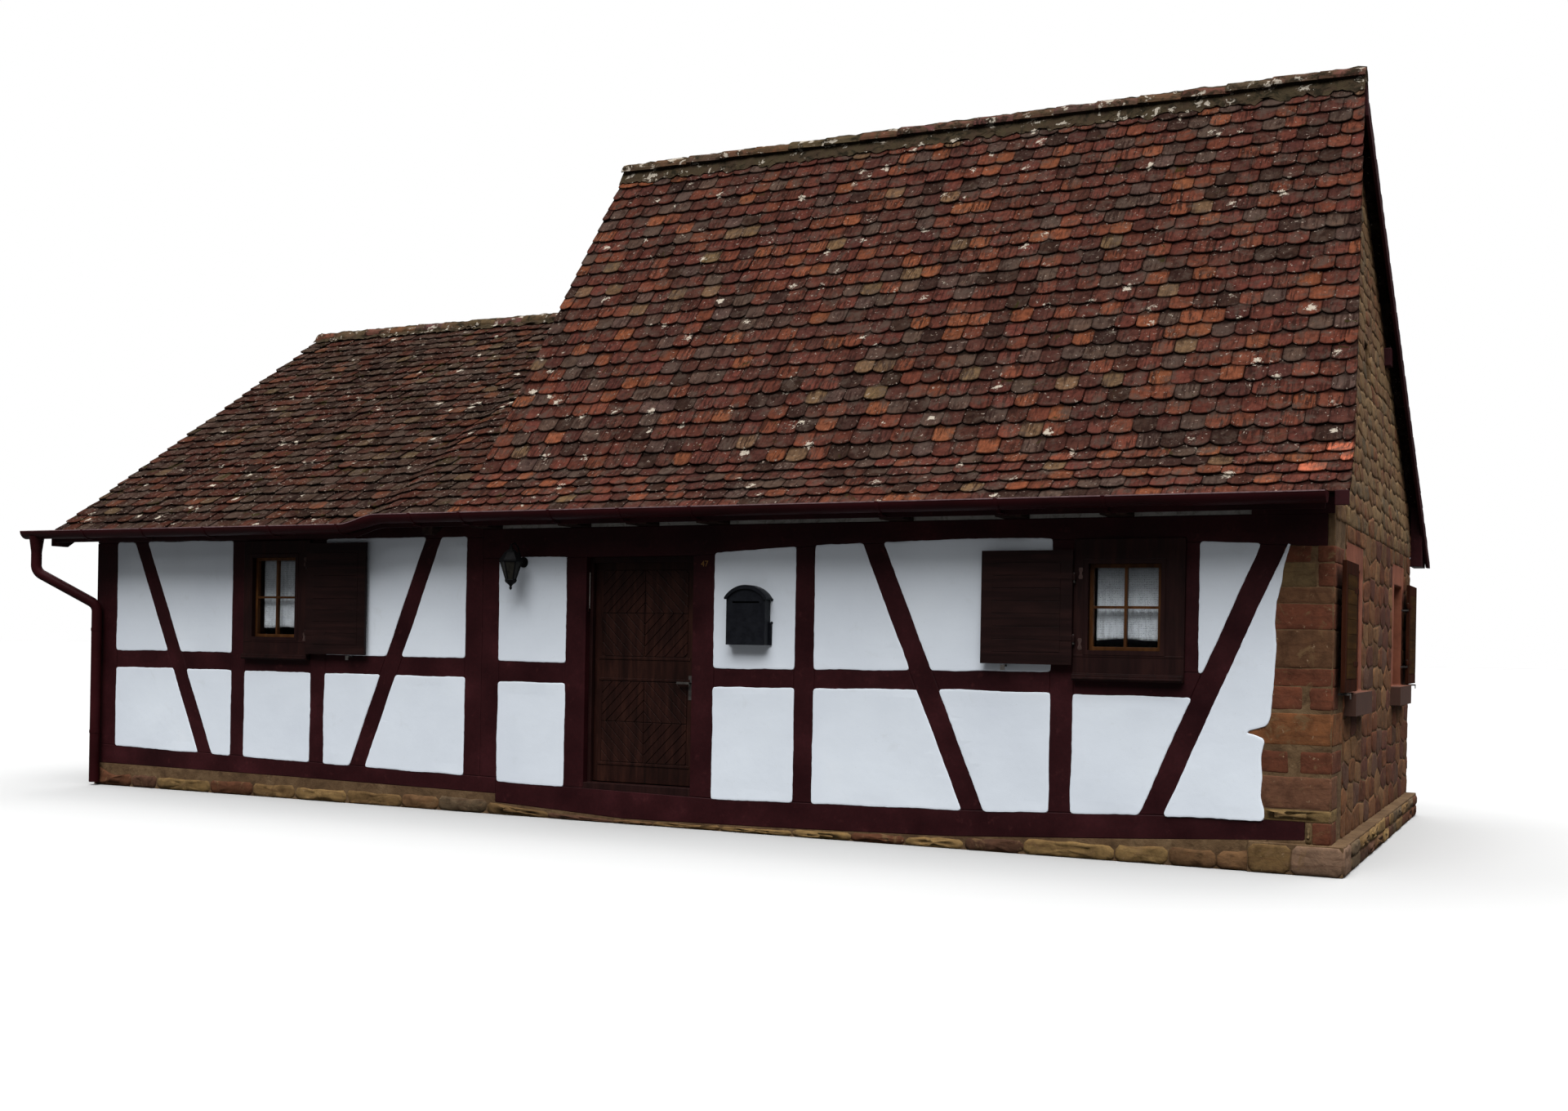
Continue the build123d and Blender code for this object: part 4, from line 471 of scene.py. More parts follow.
def lace_finish():
    """Cotton lace with rows of small holes, dimmer where the head of the window shades it."""
    finish = Finish("cotton_lace", 0.9, colour(205, 208, 214), Sheen_Weight=0.2)
    holes = finish.cells(1.0, stretch=(112.0, 0.0, 76.0), scatter=0.25)
    figure = finish.spread(finish.noise(16.0, 3.0, 0.3), 0.40, 0.56, 0.35, 1.0)
    open_part = finish.maths("MULTIPLY", finish.spread(holes, 0.20, 0.34, 1.0, 0.0), figure)
    tint = finish.mix(open_part, colour(212, 215, 220), colour(84, 86, 92))
    shade = finish.spread(finish.height(), *LACE_SHADE, 0.12, 0.60)
    finish.paint(finish.mix(shade, tint, colour(40, 42, 46)))
    finish.bump(holes, 0.4, 0.001)
    return finish.material


finishes = {
    "red_timber": timber_finish(),
    "red_metal": metal_paint_finish(),
    "old_timber": old_timber_finish(),
    "brown_wood": board_finish("brown_casing", (19, 9, 8), (31, 14, 13), (44, 22, 18), (1.0, 1.0, 0.1)),
    "door_wood": board_finish("brown_door", (20, 10, 8), (36, 18, 14), (56, 31, 23), (1.0, 1.0, 0.12), 0.42),
    "shutter_wood": board_finish("brown_shutter", (18, 9, 8), (29, 14, 13), (42, 22, 19), (0.08, 0.08, 1.0)),
    "umber_frame": board_finish("umber_frame", (28, 13, 8), (46, 22, 13), (62, 32, 20), (1.0, 0.5, 0.1),
                                0.8, 0.02),
    "umber_boards": board_finish("umber_boards", (34, 20, 8), (52, 34, 14), (72, 49, 23), (1.0, 0.08, 1.0),
                                 0.8, 0.02),
    "ochre_wood": board_finish("ochre_sash", (46, 26, 12), (72, 43, 20), (98, 64, 34), (1.0, 1.0, 0.15),
                               0.45),
    "white_plaster": plaster_finish(),
    "main_tiles": tile_finish("main_roof_tiles", 0.63, 0.50, 0.635),
    "left_tiles": tile_finish("left_roof_tiles", 0.585, 0.49, 0.622),
    "stone": stone_finish("red_sandstone", 0.03),
    "rubble": stone_finish("rubble_stone", 0.14),
    "mortar": mortar_finish("lime_mortar", (62, 46, 32), (88, 68, 48), (112, 92, 68)),
    # Plaster between the joists under the eave: grey as painted shade of the eave, with dirt in patches
    "shaded_plaster": mortar_finish("eave_plaster_painted_shade", (112, 110, 106), (134, 132, 128), (152, 150, 146)),
    "ridge": ridge_finish(),
    "surround": surround_finish(),
    "grey_iron": iron_finish("grey_iron", (52, 50, 50), (96, 92, 88), 0.5, 0.6),
    "pale_iron": iron_finish("pale_iron", (46, 34, 32), (84, 66, 62), 0.6, 0.2),
    "brass": iron_finish("old_brass", (104, 74, 40), (150, 112, 66), 0.45, 0.5),
    # Pale metal of the gutter's bead: a painted highlight along the lip
    "painted_highlight_metal": iron_finish("painted_highlight_metal", (84, 62, 64), (120, 98, 100), 0.4),
    "old_glass": iron_finish("old_glass", (22, 21, 18), (44, 42, 36), 0.3),
    "black_iron": iron_finish("black_iron", (6, 6, 7), (12, 12, 13), 0.6),
    "milk_glass": iron_finish("milk_glass", (150, 146, 140), (176, 172, 166), 0.3),
    "black_metal": iron_finish("navy_metal", (14, 15, 19), (24, 26, 31), 0.42),
    "stone_floor": floor_slab_finish(),
    "window_glass": glass_finish(),
    "lace": lace_finish(),
}


# Making pieces

class Shape:
    """Points, faces and tones of one piece, gathered part by part in the drawing's coordinates."""

    def __init__(self):
        self.points = []
        self.faces = []
        self.tones = []

    def add(self, points, faces, tone=(1.0, 1.0, 1.0), tones=None):
        start = len(self.points)
        self.points.extend(points)
        self.faces.extend(tuple(index + start for index in face) for face in faces)
        self.tones.extend(tones if tones else [tone] * len(points))

    def make(self, name, material, slot, body="house", smooth=False):
        mesh = bpy.data.meshes.new(name)
        mesh.from_pydata(to_frame(self.points), [], self.faces)
        mesh.validate()
        solid = bmesh.new()
        solid.from_mesh(mesh)
        bmesh.ops.recalc_face_normals(solid, faces=solid.faces)
        solid.to_mesh(mesh)
        solid.free()
        paint = mesh.attributes.new("tone", "FLOAT_COLOR", "POINT")
        values = np.ones((len(self.points), 4), np.float32)
        values[:, :3] = np.array(self.tones, np.float32)[:, :3]
        if len(mesh.vertices) == len(self.points):
            paint.data.foreach_set("color", values.ravel())
        mesh.materials.append(finishes[material])
        if smooth:
            mesh.polygons.foreach_set("use_smooth", [True] * len(mesh.polygons))
        piece = put_in_scene(name, mesh)
        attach(piece, body)
        return piece


def soften(piece, width):
    """Joins split points and rounds the sharp edges of a piece."""
    weld = piece.modifiers.new("weld", "WELD")
    weld.merge_threshold = JOIN_DISTANCE
    bevel = piece.modifiers.new("bevel", "BEVEL")
    bevel.width = width
    bevel.segments = 2
    bevel.limit_method = "ANGLE"
    bevel.angle_limit = math.radians(SHARP_ANGLE)


def tube_faces(rings, count):
    """Faces between closed rings of points, each ring joined to the next one."""
    faces = []
    for ring in range(rings):
        for i in range(count):
            a, b = ring * count + i, ring * count + (i + 1) % count
            faces.append((a, b, b + count, a + count))
    return faces


def clip(polygon, a, b, c):
    """The part of a flat polygon where a * u + b * v <= c."""
    kept = []
    for index, (u, v) in enumerate(polygon):
        pu, pv = polygon[index - 1]
        here, before = a * u + b * v - c, a * pu + b * pv - c
        if here * before < 0:
            share = before / (before - here)
            kept.append((pu + (u - pu) * share, pv + (v - pv) * share))
        if here <= 0:
            kept.append((u, v))
    return kept


def block(shape, low, high):
    """Adds a straight block between two corners."""
    points = [(x, y, z) for x in (low[0], high[0]) for y in (low[1], high[1]) for z in (low[2], high[2])]
    faces = [(0, 1, 3, 2), (4, 6, 7, 5), (0, 4, 5, 1), (2, 3, 7, 6), (0, 2, 6, 4), (1, 5, 7, 3)]
    shape.add(points, faces)


def plate(shape, outline, lift_to, low, high):
    """Adds a flat outline pulled out between two heights off its face."""
    count = len(outline)
    points = [lift_to(u, v, h) for h in (low, high) for u, v in outline]
    ends = [tuple(range(count)), tuple(range(count, 2 * count))]
    shape.add(points, ends + tube_faces(1, count))


def area_of(polygon):
    """The area of a flat polygon, above zero where its points run anticlockwise."""
    return 0.5 * sum(polygon[i - 1][0] * polygon[i][1] - polygon[i][0] * polygon[i - 1][1]
                     for i in range(len(polygon)))


def is_larger(polygon, least):
    """Whether what clipping left of a polygon is larger than an area."""
    return len(polygon) > 2 and abs(area_of(polygon)) > least


# Faces of the walls: each is a function that puts a place on it in space, at a height off it

def along_x(y, outward):
    """An upright face that runs along X, with the direction in which it looks along Y."""
    return lambda u, v, h: (u, y + outward * h, v)


def along_y(x, outward):
    """An upright face that runs along Y, with the direction in which it looks along X."""
    return lambda u, v, h: (x + outward * h, u, v)


left_end_x = drawn_box("left_front_posts")[0].x
rear_y = drawn_box("rear_posts")[1].y
footing_x = drawn_box("gable_wall")[1].x
footing_y = drawn_box("gable_wall")[0].y
front_face = along_x(0, -1)
rear_face = along_x(rear_y, 1)
left_end_face = along_y(left_end_x, -1)
middle_gable_face = along_y(drawn_box("middle_gable_timbers")[0].x, -1)
footing_side = along_y(footing_x, 1)
footing_front = along_x(footing_y, -1)


def gable_face(u, v, h):
    """The stone gable, which leans back above the eave."""
    return (-max(v - MAIN_EAVE_Z, 0) * VERGE_LEAN + h, u, v)


# Roof tiles

main_front_low, main_front_high = drawn_box("main_front_tiles")
left_front_low, left_front_high = drawn_box("left_front_tiles")
ridge_y = main_front_high.y
ridge_z = main_front_high.z
left_ridge_y = left_front_high.y
left_ridge_z = left_front_high.z
rear_eave_y = drawn_box("main_rear_tiles")[1].y
rear_slope = (ridge_z - left_ridge_z) / (left_ridge_y - ridge_y)
rear_eave_z = ridge_z - (rear_eave_y - ridge_y) * rear_slope


def left_eave_rise(x):
    """How much the lower eave stands above its own level part."""
    share = np.clip((x - SWEEP_START_X) / (SWEEP_END_X - SWEEP_START_X), 0, 1)
    return (MAIN_EAVE_Z - LEFT_EAVE_Z) * share * share * (3 - 2 * share)


def swept_places(left, right):
    """Places along the eave, close together where it rises from the lower part to the main one."""
    return [left] + [float(x) for x in np.linspace(SWEEP_START_X, SWEEP_END_X, SWEEP_STEPS)] + [right]


def right_verge(z):
    """The right roof edge leans inwards with the gable."""
    return main_front_high.x - (z - main_front_low.z) * VERGE_LEAN


class Slope:
    """One roof slope: the node that it covers and its profile from the eave up."""

    def __init__(self, node, profile, rise=None, right_of_z=None):
        low, high = drawn_box(node)
        self.node = node
        self.left = low.x
        self.right = high.x
        self.profile = np.array(profile)
        steps = np.hypot(*np.diff(self.profile, axis=0).T)
        self.along = np.concatenate(([0], np.cumsum(steps)))
        self.length = self.along[-1]
        self.rise = rise
        self.right_of_z = right_of_z

    def flat(self, s):
        y = np.interp(s, self.along, self.profile[:, 0])
        z = np.interp(s, self.along, self.profile[:, 1])
        over = np.maximum(s - self.length, 0)
        under = np.minimum(s, 0)
        first = (self.profile[1] - self.profile[0]) / self.along[1]
        last = (self.profile[-1] - self.profile[-2]) / (self.along[-1] - self.along[-2])
        return y + over * last[0] + under * first[0], z + over * last[1] + under * first[1]

    def at(self, x, s, height):
        """Points over the slope: x along it, s up from the eave, height off its top face."""
        x, s, height = np.broadcast_arrays(np.asarray(x, float), s, height)
        y0, z0 = self.flat(s - 0.02)
        y1, z1 = self.flat(s + 0.02)
        run = np.hypot(y1 - y0, z1 - z0)
        away = np.sign(y0 - y1)
        y, z = self.flat(s)
        if self.rise:
            z = z + self.rise(x) * np.clip(1 - s / self.length, 0, 1)
        y = y + away * height * np.abs(z1 - z0) / run
        z = z + height * np.abs(y1 - y0) / run
        return np.stack([x, y, z], -1)

    def right_edge(self, s):
        if not self.right_of_z:
            return np.full_like(np.asarray(s, float), self.right)
        return self.right_of_z(self.flat(np.asarray(s, float))[1])


TILE_COLUMNS = np.array([-1.0, -0.86, -0.5, 0.0, 0.5, 0.86, 1.0])
# Painted shade across each tile: its two sides are darker, as the gaps between tiles lie in shadow
TILE_SIDE_PAINTED_SHADE = np.array([0.42, 0.95, 1.0, 1.0, 1.0, 0.95, 0.42])
# Painted shade up each tile, ring by ring: darker at the nose, then dark from the band where the next row
# casts its shadow, over the thickness and the underside
TILE_ROW_PAINTED_SHADE = (0.45, 1.0, 0.92, 0.22, 0.20, 0.16)
columns = len(TILE_COLUMNS)
tile_faces = []
for band in range(4):
    for j in range(columns - 1):
        low, high = band * columns + j, (band + 1) * columns + j
        tile_faces.append((low, low + 1, high + 1, high))
edge_start = 5 * columns
for j in range(columns - 1):
    tile_faces.append((edge_start + j, edge_start + j + 1, j + 1, j))
back_left, back_right = edge_start + columns, edge_start + columns + 1
left_side = [band * columns for band in range(5)]
right_side = [start + columns - 1 for start in reversed(left_side)]
tile_faces.append((edge_start, *left_side, back_left))
tile_faces.append((edge_start + columns - 1, back_right, *right_side))
tile_faces.append(tuple([back_left] + [4 * columns + j for j in range(columns)] + [back_right]))
tile_faces.append(tuple([back_left, back_right] + [edge_start + j for j in reversed(range(columns))]))
back_painted_shade = np.full(2, TILE_ROW_PAINTED_SHADE[-1])
tile_painted_shade = np.concatenate([share * TILE_SIDE_PAINTED_SHADE for share in TILE_ROW_PAINTED_SHADE] + [back_painted_shade])


def tile_tone(chance, palette):
    """One tile's colour, drawn from a weighted palette and shifted a little."""
    tone = chance.choices([entry[1] for entry in palette], [entry[0] for entry in palette])[0]
    light = TILE_LIGHT * chance.uniform(0.86, 1.16)
    return tuple(level(part) * light * chance.uniform(0.96, 1.04) for part in tone)


# Tones of the tiles, each with its weight
MAIN_PALETTE = [(28, (86, 49, 41)), (24, (72, 44, 38)), (18, (98, 56, 43)), (8, (114, 67, 47)),
                (13, (76, 60, 53)), (9, (52, 37, 32)), (3, (100, 78, 58))]
LEFT_PALETTE = [(18, (64, 37, 30)), (26, (55, 36, 30)), (9, (76, 45, 35)), (3, (88, 54, 40)),
                (20, (60, 47, 40)), (14, (40, 29, 25)), (3, (76, 61, 46))]
REAR_PALETTE = [(24, (80, 45, 36)), (22, (68, 41, 34)), (14, (98, 56, 40)), (6, (112, 64, 42)),
                (20, (75, 61, 51)), (11, (50, 36, 30)), (3, (102, 80, 56))]
SALMON = (172, 96, 72)
RENEWED_TILES = ((3, 0), (2, 1), (4, 0))
# Near black underlay: painted shade for the dark roof space that shows through the gaps between tiles
UNDERLAY_PAINTED_SHADE = (0.012, 0.008, 0.006)
RIDGE_TONE = (78, 55, 45)
RIDGE_MORTAR = (52, 42, 33)


def row_starts(slope):
    """Where the rows start up the slope: closer together on the flatter foot."""
    foot = float(slope.along[1]) if len(slope.along) > 2 else 0.0
    foot_rows = round(foot / FOOT_EXPOSURE)
    rows = round((slope.length - foot) / TILE_EXPOSURE)
    starts = [foot * k / foot_rows for k in range(foot_rows)]
    return starts + [foot + (slope.length - foot) * k / rows for k in range(rows + 1)]


def tile_form(half, arc, power, skew, exposure, length):
    """One tile lying flat: across, up the slope and height of its points, for the faces above."""
    across = TILE_COLUMNS * half
    curve = arc * np.abs(np.clip(TILE_COLUMNS + skew * 0.12, -1, 1)) ** power
    camber = TILE_CAMBER * (1 - TILE_COLUMNS ** 2)
    drop = TILE_THICKNESS / exposure
    rows = []
    for inset, sink in ((0.0, TILE_NOSE_SINK), (TILE_NOSE_RUN, 0.0)):
        rows.append((curve + inset, camber - sink - (curve + inset) * drop))
    for back in (min(exposure - 0.022, length - 0.02), min(exposure + 0.004, length - 0.01), length):
        line = np.maximum(back, curve + 0.012) if back < length else np.full(columns, length)
        rows.append((line, camber - back * drop))
    rows.append((curve, -TILE_THICKNESS - curve * drop))
    a = np.concatenate([across] * len(rows) + [across[[0, -1]]])
    b = np.concatenate([up for up, _ in rows] + [np.full(2, length)])
    h = np.concatenate([height for _, height in rows] + [np.full(2, -TILE_THICKNESS - length * drop)])
    return a, b, h


def lay_tiles(name, slope, palette, material, seed, wild=1.0, renewed=()):
    """Rows of rounded tiles over a thin underlay. Renewed tiles are given as row and place from the right."""
    chance = random.Random(seed)
    shape = Shape()
    starts = row_starts(slope)
    rows = len(starts) - 1
    for row, base in enumerate(starts[:-1]):
        first, last = row == 0, row == rows - 1
        exposure = starts[row + 1] - base
        length = min(TILE_LENGTH, slope.length - base) if last else TILE_LENGTH
        x = float(slope.right_edge(base + exposure / 2))
        place = 0
        width = TILE_WIDTH * (0.5 if row % 2 else 1.0) * chance.uniform(0.92, 1.08)
        while x > slope.left + 0.03:
            if x - width < slope.left + 0.05:
                width = x - slope.left
            arc = TILE_ARC * chance.uniform(0.55, 1.35) * (0.35 if first and chance.random() < 0.6 else 1.0)
            power = chance.uniform(2.0, 3.2)
            tilt = wild * chance.gauss(0, 0.9) * math.pi / 180
            side_shift = chance.uniform(-0.002, 0.002)
            down = wild * chance.gauss(0, 0.0045) if not first else chance.uniform(-0.004, 0.003)
            lift = wild * chance.uniform(-0.003, 0.003) + (0.006 if chance.random() < 0.06 * wild else 0)
            rock = wild * chance.gauss(0, 0.0018)
            skew = chance.uniform(-0.3, 0.3)
            tone = tile_tone(chance, palette)
            if (row, place) in renewed:
                tone = lit(SALMON, TILE_LIGHT)
            half = width / 2 - TILE_GAP
            a, b, h = tile_form(half, arc, power, skew, exposure, length)
            px = x - width / 2 + side_shift + a + (b - exposure) * math.sin(tilt)
            ps = base + b + down - a * math.sin(tilt)
            ph = h - TILE_TOP + lift + rock * a / half
            px = np.clip(px, slope.left, slope.right_edge(ps))
            # Each point takes the tile's own tone times its painted shade
            shape.add(slope.at(px, ps, ph).tolist(), tile_faces,
                      tones=[tuple(part * share for part in tone) for share in tile_painted_shade])
            x -= width
            place += 1
            width = TILE_WIDTH * chance.uniform(0.93, 1.07)
    underlay(shape, slope)
    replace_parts(shape.make(name, material, "roof_tiles"), slope.node)


def underlay(shape, slope):
    """Closed slab under the tiles, in strips that follow the profile and the swept eave."""
    stations = [0.0] + [float(v) for v in slope.along[1:]]
    xs = swept_places(slope.left, slope.right) if slope.rise else [slope.left, slope.right]
    grid = {}
    points = []
    low, high = -TILE_LAYER, -UNDERLAY_TOP
    for height in (low, high):
        for j, s in enumerate(stations):
            for i, x in enumerate(xs):
                reach = float(slope.right_edge(s)) - UNDERLAY_INSET if i == len(xs) - 1 else x
                grid[(height, j, i)] = len(points)
                points.append(tuple(slope.at(reach, s + (UNDERLAY_INSET if j == 0 else 0), height)))
    faces = []
    for j in range(len(stations) - 1):
        for i in range(len(xs) - 1):
            ring = [(j, i), (j, i + 1), (j + 1, i + 1), (j + 1, i)]
            faces.append(tuple(grid[(high, *place)] for place in ring))
            faces.append(tuple(grid[(low, *place)] for place in reversed(ring)))
    border = [(0, i) for i in range(len(xs))] + [(j, len(xs) - 1) for j in range(1, len(stations))]
    border += [(len(stations) - 1, i) for i in reversed(range(len(xs) - 1))]
    border += [(j, 0) for j in reversed(range(1, len(stations) - 1))]
    for k, place in enumerate(border):
        after = border[(k + 1) % len(border)]
        corners = ((low, *place), (low, *after), (high, *after), (high, *place))
        faces.append(tuple(grid[corner] for corner in corners))
    # The underlay is near black, as painted shade in the gaps between tiles
    shape.add(points, faces, UNDERLAY_PAINTED_SHADE)


bend_y = FOOT_RUN - FRONT_OVERHANG
bend_z = MAIN_EAVE_Z + FOOT_RUN * math.tan(math.radians(FOOT_PITCH))
front_eave = (-FRONT_OVERHANG, MAIN_EAVE_Z)
left_eave = (-FRONT_OVERHANG, LEFT_EAVE_Z)
rear_eave = (rear_eave_y, rear_eave_z)
main_crest = (ridge_y, ridge_z)
left_crest = (left_ridge_y, left_ridge_z)
main_front = Slope("main_front_tiles", [front_eave, (bend_y, bend_z), main_crest], right_of_z=right_verge)
main_rear = Slope("main_rear_tiles", [rear_eave, main_crest], right_of_z=right_verge)
left_front = Slope("left_front_tiles", [left_eave, left_crest], rise=left_eave_rise)
left_rear = Slope("left_rear_tiles", [rear_eave, left_crest])
lay_tiles("main_front_roof_tiles", main_front, MAIN_PALETTE, "main_tiles", 11, renewed=RENEWED_TILES)
lay_tiles("main_rear_roof_tiles", main_rear, REAR_PALETTE, "main_tiles", 12)
lay_tiles("left_front_roof_tiles", left_front, LEFT_PALETTE, "left_tiles", 13, 1.5)
lay_tiles("left_rear_roof_tiles", left_rear, REAR_PALETTE, "left_tiles", 14)


def lay_ridge(name, node, y, z, front_pitch, rear_pitch, seed):
    """Half round ridge tiles, each with its nose over the next one, bedded in rough mortar."""
    chance = random.Random(seed)
    low, high = drawn_box(node)
    shape = Shape()
    count = max(1, round((high.x - low.x) / RIDGE_TILE))
    step = (high.x - low.x) / count
    centre_z = z + RIDGE_CREST - RIDGE_RADIUS
    turns = 12
    for k in range(count):
        start = low.x + k * step
        end = min(start + step + RIDGE_LAP, high.x)
        tone = tuple(level(part) * chance.uniform(0.8, 1.2) for part in RIDGE_TONE)
        slant = chance.uniform(-0.010, 0.010)
        stations = [(start, 0.000), (start + 0.012, 0.008), (start + step * 0.5, 0.001), (end, -0.011)]
        points = []
        drop = chance.uniform(-0.010, 0.004)
        for x, swell in stations:
            lean = min(slant * (x - start) / step, 0.0)
            for thick in (0.0, RIDGE_THICKNESS):
                for i in range(turns + 1):
                    turn = math.pi * (0.06 + 0.88 * i / turns)
                    reach = RIDGE_RADIUS - 0.006 + swell - thick + 0.007 * ripple(x * 9, i * 0.7, seed)
                    up = centre_z + drop + lean + math.sin(turn) * reach
                    points.append((x, y + math.cos(turn) * reach, up))
        ring = turns + 1
        faces = []
        for s in range(len(stations) - 1):
            for i in range(turns):
                outer, inner = s * 2 * ring + i, s * 2 * ring + ring + i
                faces.append((outer, outer + 1, outer + 2 * ring + 1, outer + 2 * ring))
                faces.append((inner, inner + 2 * ring, inner + 2 * ring + 1, inner + 1))
            for i in (0, turns):
                outer, inner = s * 2 * ring + i, s * 2 * ring + ring + i
                wall = (outer, outer + 2 * ring, inner + 2 * ring, inner)
                faces.append(wall if i == 0 else wall[::-1])
        for s in (0, len(stations) - 1):
            for i in range(turns):
                outer, inner = s * 2 * ring + i, s * 2 * ring + ring + i
                wall = (outer, inner, inner + 1, outer + 1)
                faces.append(wall if s == 0 else wall[::-1])
        shape.add(points, faces, tone)
    bed_of_mortar(shape, low.x, high.x, y, z, centre_z, front_pitch, rear_pitch, seed)
    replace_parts(shape.make(name, "ridge", "ridge_tiles"), node)


def bed_of_mortar(shape, x0, x1, y, z, centre_z, front_pitch, rear_pitch, seed):
    """A lumpy fillet under the ridge tiles that runs out on both slopes."""
    stations = max(2, round((x1 - x0) / 0.035))
    section = [(-0.150, 0.0), (-0.136, 0.022), (-0.105, 0.040), (-0.05, 0.080), (0.0, 0.085), (0.05, 0.080),
               (0.105, 0.040), (0.136, 0.022), (0.150, 0.0), (0.06, -0.03), (-0.06, -0.03)]
    points = []
    for k in range(stations + 1):
        x = x0 + (x1 - x0) * k / stations
        for i, (across, up) in enumerate(section):
            spread = 0.94 + 0.28 * ripple(x * 7, i * 0.9, seed + 5) + 0.22 * ripple(x * 19, i * 0.9, seed + 6)
            pitch = front_pitch if across < 0 else rear_pitch
            plane = z - abs(across) * spread * math.tan(pitch)
            rise = up * 0.42 if up > 0 else up
            lump = 0.016 * ripple(x * 11, i * 1.3, seed + 9)
            points.append((x, y + across * spread, max(plane + rise + lump, centre_z - 0.16)))
    ring = len(section)
    ends = [tuple(reversed(range(ring))), tuple(stations * ring + i for i in range(ring))]
    shape.add(points, tube_faces(stations, ring) + ends, lit(RIDGE_MORTAR))


main_pitch = math.atan2(ridge_z - bend_z, ridge_y - bend_y)
left_pitch = math.atan2(left_ridge_z - LEFT_EAVE_Z, left_ridge_y + FRONT_OVERHANG)
rear_pitch = math.atan(rear_slope)
lay_ridge("main_ridge_tiles", "main_ridge", ridge_y, ridge_z, main_pitch, rear_pitch, 21)
lay_ridge("left_ridge_tiles", "left_ridge", left_ridge_y, left_ridge_z, left_pitch, rear_pitch, 22)


# Plaster, as a skin over each panel that laps a little over the timbers around it

def outward_faces(node, direction):
    """Outlines of a node's flat faces that look along a direction, in the drawing's coordinates."""
    mesh = bmesh.new()
    mesh.from_mesh(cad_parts[node].data)
    bmesh.ops.remove_doubles(mesh, verts=mesh.verts, dist=JOIN_DISTANCE)
    bmesh.ops.dissolve_limit(mesh, angle_limit=math.radians(1), verts=mesh.verts, edges=mesh.edges)
    shift = Vector((corner_x, face_y, 0))
    found = []
    for face in mesh.faces:
        if face.normal.dot(direction) > FACING:
            found.append([loop.vert.co - shift for loop in face.loops])
    mesh.free()
    return found


def rounded(outline, radius):
    """A polygon with its corners replaced by short curves and its sides cut into steps."""
    count = len(outline)
    result = []
    for i in range(count):
        before, here, after = (Vector(outline[(i + k) % count]) for k in (-1, 0, 1))
        back, ahead = before - here, after - here
        cut_back = min(radius, back.length * 0.4)
        cut_ahead = min(radius, ahead.length * 0.4)
        first = here + back.normalized() * cut_back
        last = here + ahead.normalized() * cut_ahead
        for share in (0.0, 0.33, 0.67, 1.0):
            result.append(first.lerp(here, share).lerp(here.lerp(last, share), share))
        next_back = min(radius, ahead.length * 0.4)
        end = after - ahead.normalized() * next_back
        steps = int((end - last).length / PLASTER_STEP)
        for k in range(1, steps):
            result.append(last.lerp(end, k / steps))
    return result


def moved(outline, amount):
    """A polygon, given anticlockwise, with each point moved outwards by an amount of its own."""
    count = len(outline)
    result = []
    for i in range(count):
        chord = outline[(i + 1) % count] - outline[i - 1]
        out = Vector((chord.y, -chord.x)).normalized()
        result.append(outline[i] + out * amount(outline[i]))
    return result


def skin(shape, outline, lift_to, seed, proud):
    """Adds one plaster skin. The outline is flat, and lift_to(u, v, h) puts a point in space."""
    if area_of([tuple(p) for p in outline]) < 0:
        outline = outline[::-1]

    def wave(point):
        slow = ripple(point.x * 3.1, point.y * 3.1, seed)
        quick = ripple(point.x * 21, point.y * 21, seed + 3)
        return PLASTER_LAP + 0.007 * slow + 0.0035 * quick

    edge = moved(rounded(outline, PLASTER_CORNER), wave)
    rim = moved(edge, lambda point: -0.004)
    inner = moved(edge, lambda point: -0.016)
    count = len(edge)
    points = [lift_to(p.x, p.y, -PLASTER_SINK) for p in edge]
    points += [lift_to(p.x, p.y, proud - 0.005) for p in edge]
    points += [lift_to(p.x, p.y, proud - 0.001) for p in rim]
    faces = [tuple(reversed(range(count)))] + tube_faces(2, count)
    us, vs = [p.x for p in inner], [p.y for p in inner]
    extra = []
    u = min(us) + PLASTER_GRID
    while u < max(us) - PLASTER_GRID * 0.5:
        v = min(vs) + PLASTER_GRID
        while v < max(vs) - PLASTER_GRID * 0.5:
            if inside(inner, u, v):
                extra.append(Vector((u, v)))
            v += PLASTER_GRID
        u += PLASTER_GRID
    made, _, triangles, origins, _, _ = delaunay_2d_cdt(inner + extra, [], [list(range(count))], 1, 1e-6)
    where = {}
    start = len(points)
    for index, (point, sources) in enumerate(zip(made, origins)):
        ring_source = [s for s in sources if s < count]
        height = proud
        if ring_source:
            for source in sources:
                where[source] = start + index
        else:
            height += 0.0035 * ripple(point.x * 2.2, point.y * 2.2, seed)
        points.append(lift_to(point.x, point.y, height))
    for triangle in triangles:
        faces.append(tuple(start + t for t in triangle))
    for i in range(count):
        j = (i + 1) % count
        if i in where and j in where and where[i] != where[j]:
            faces.append((2 * count + i, 2 * count + j, where[j], where[i]))
    shape.add(points, faces)


def inside(outline, u, v):
    """Whether a place lies inside a flat polygon."""
    hit = False
    for i in range(len(outline)):
        a, b = outline[i - 1], outline[i]
        if (a.y > v) != (b.y > v) and u < a.x + (b.x - a.x) * (v - a.y) / (b.y - a.y):
            hit = not hit
    return hit


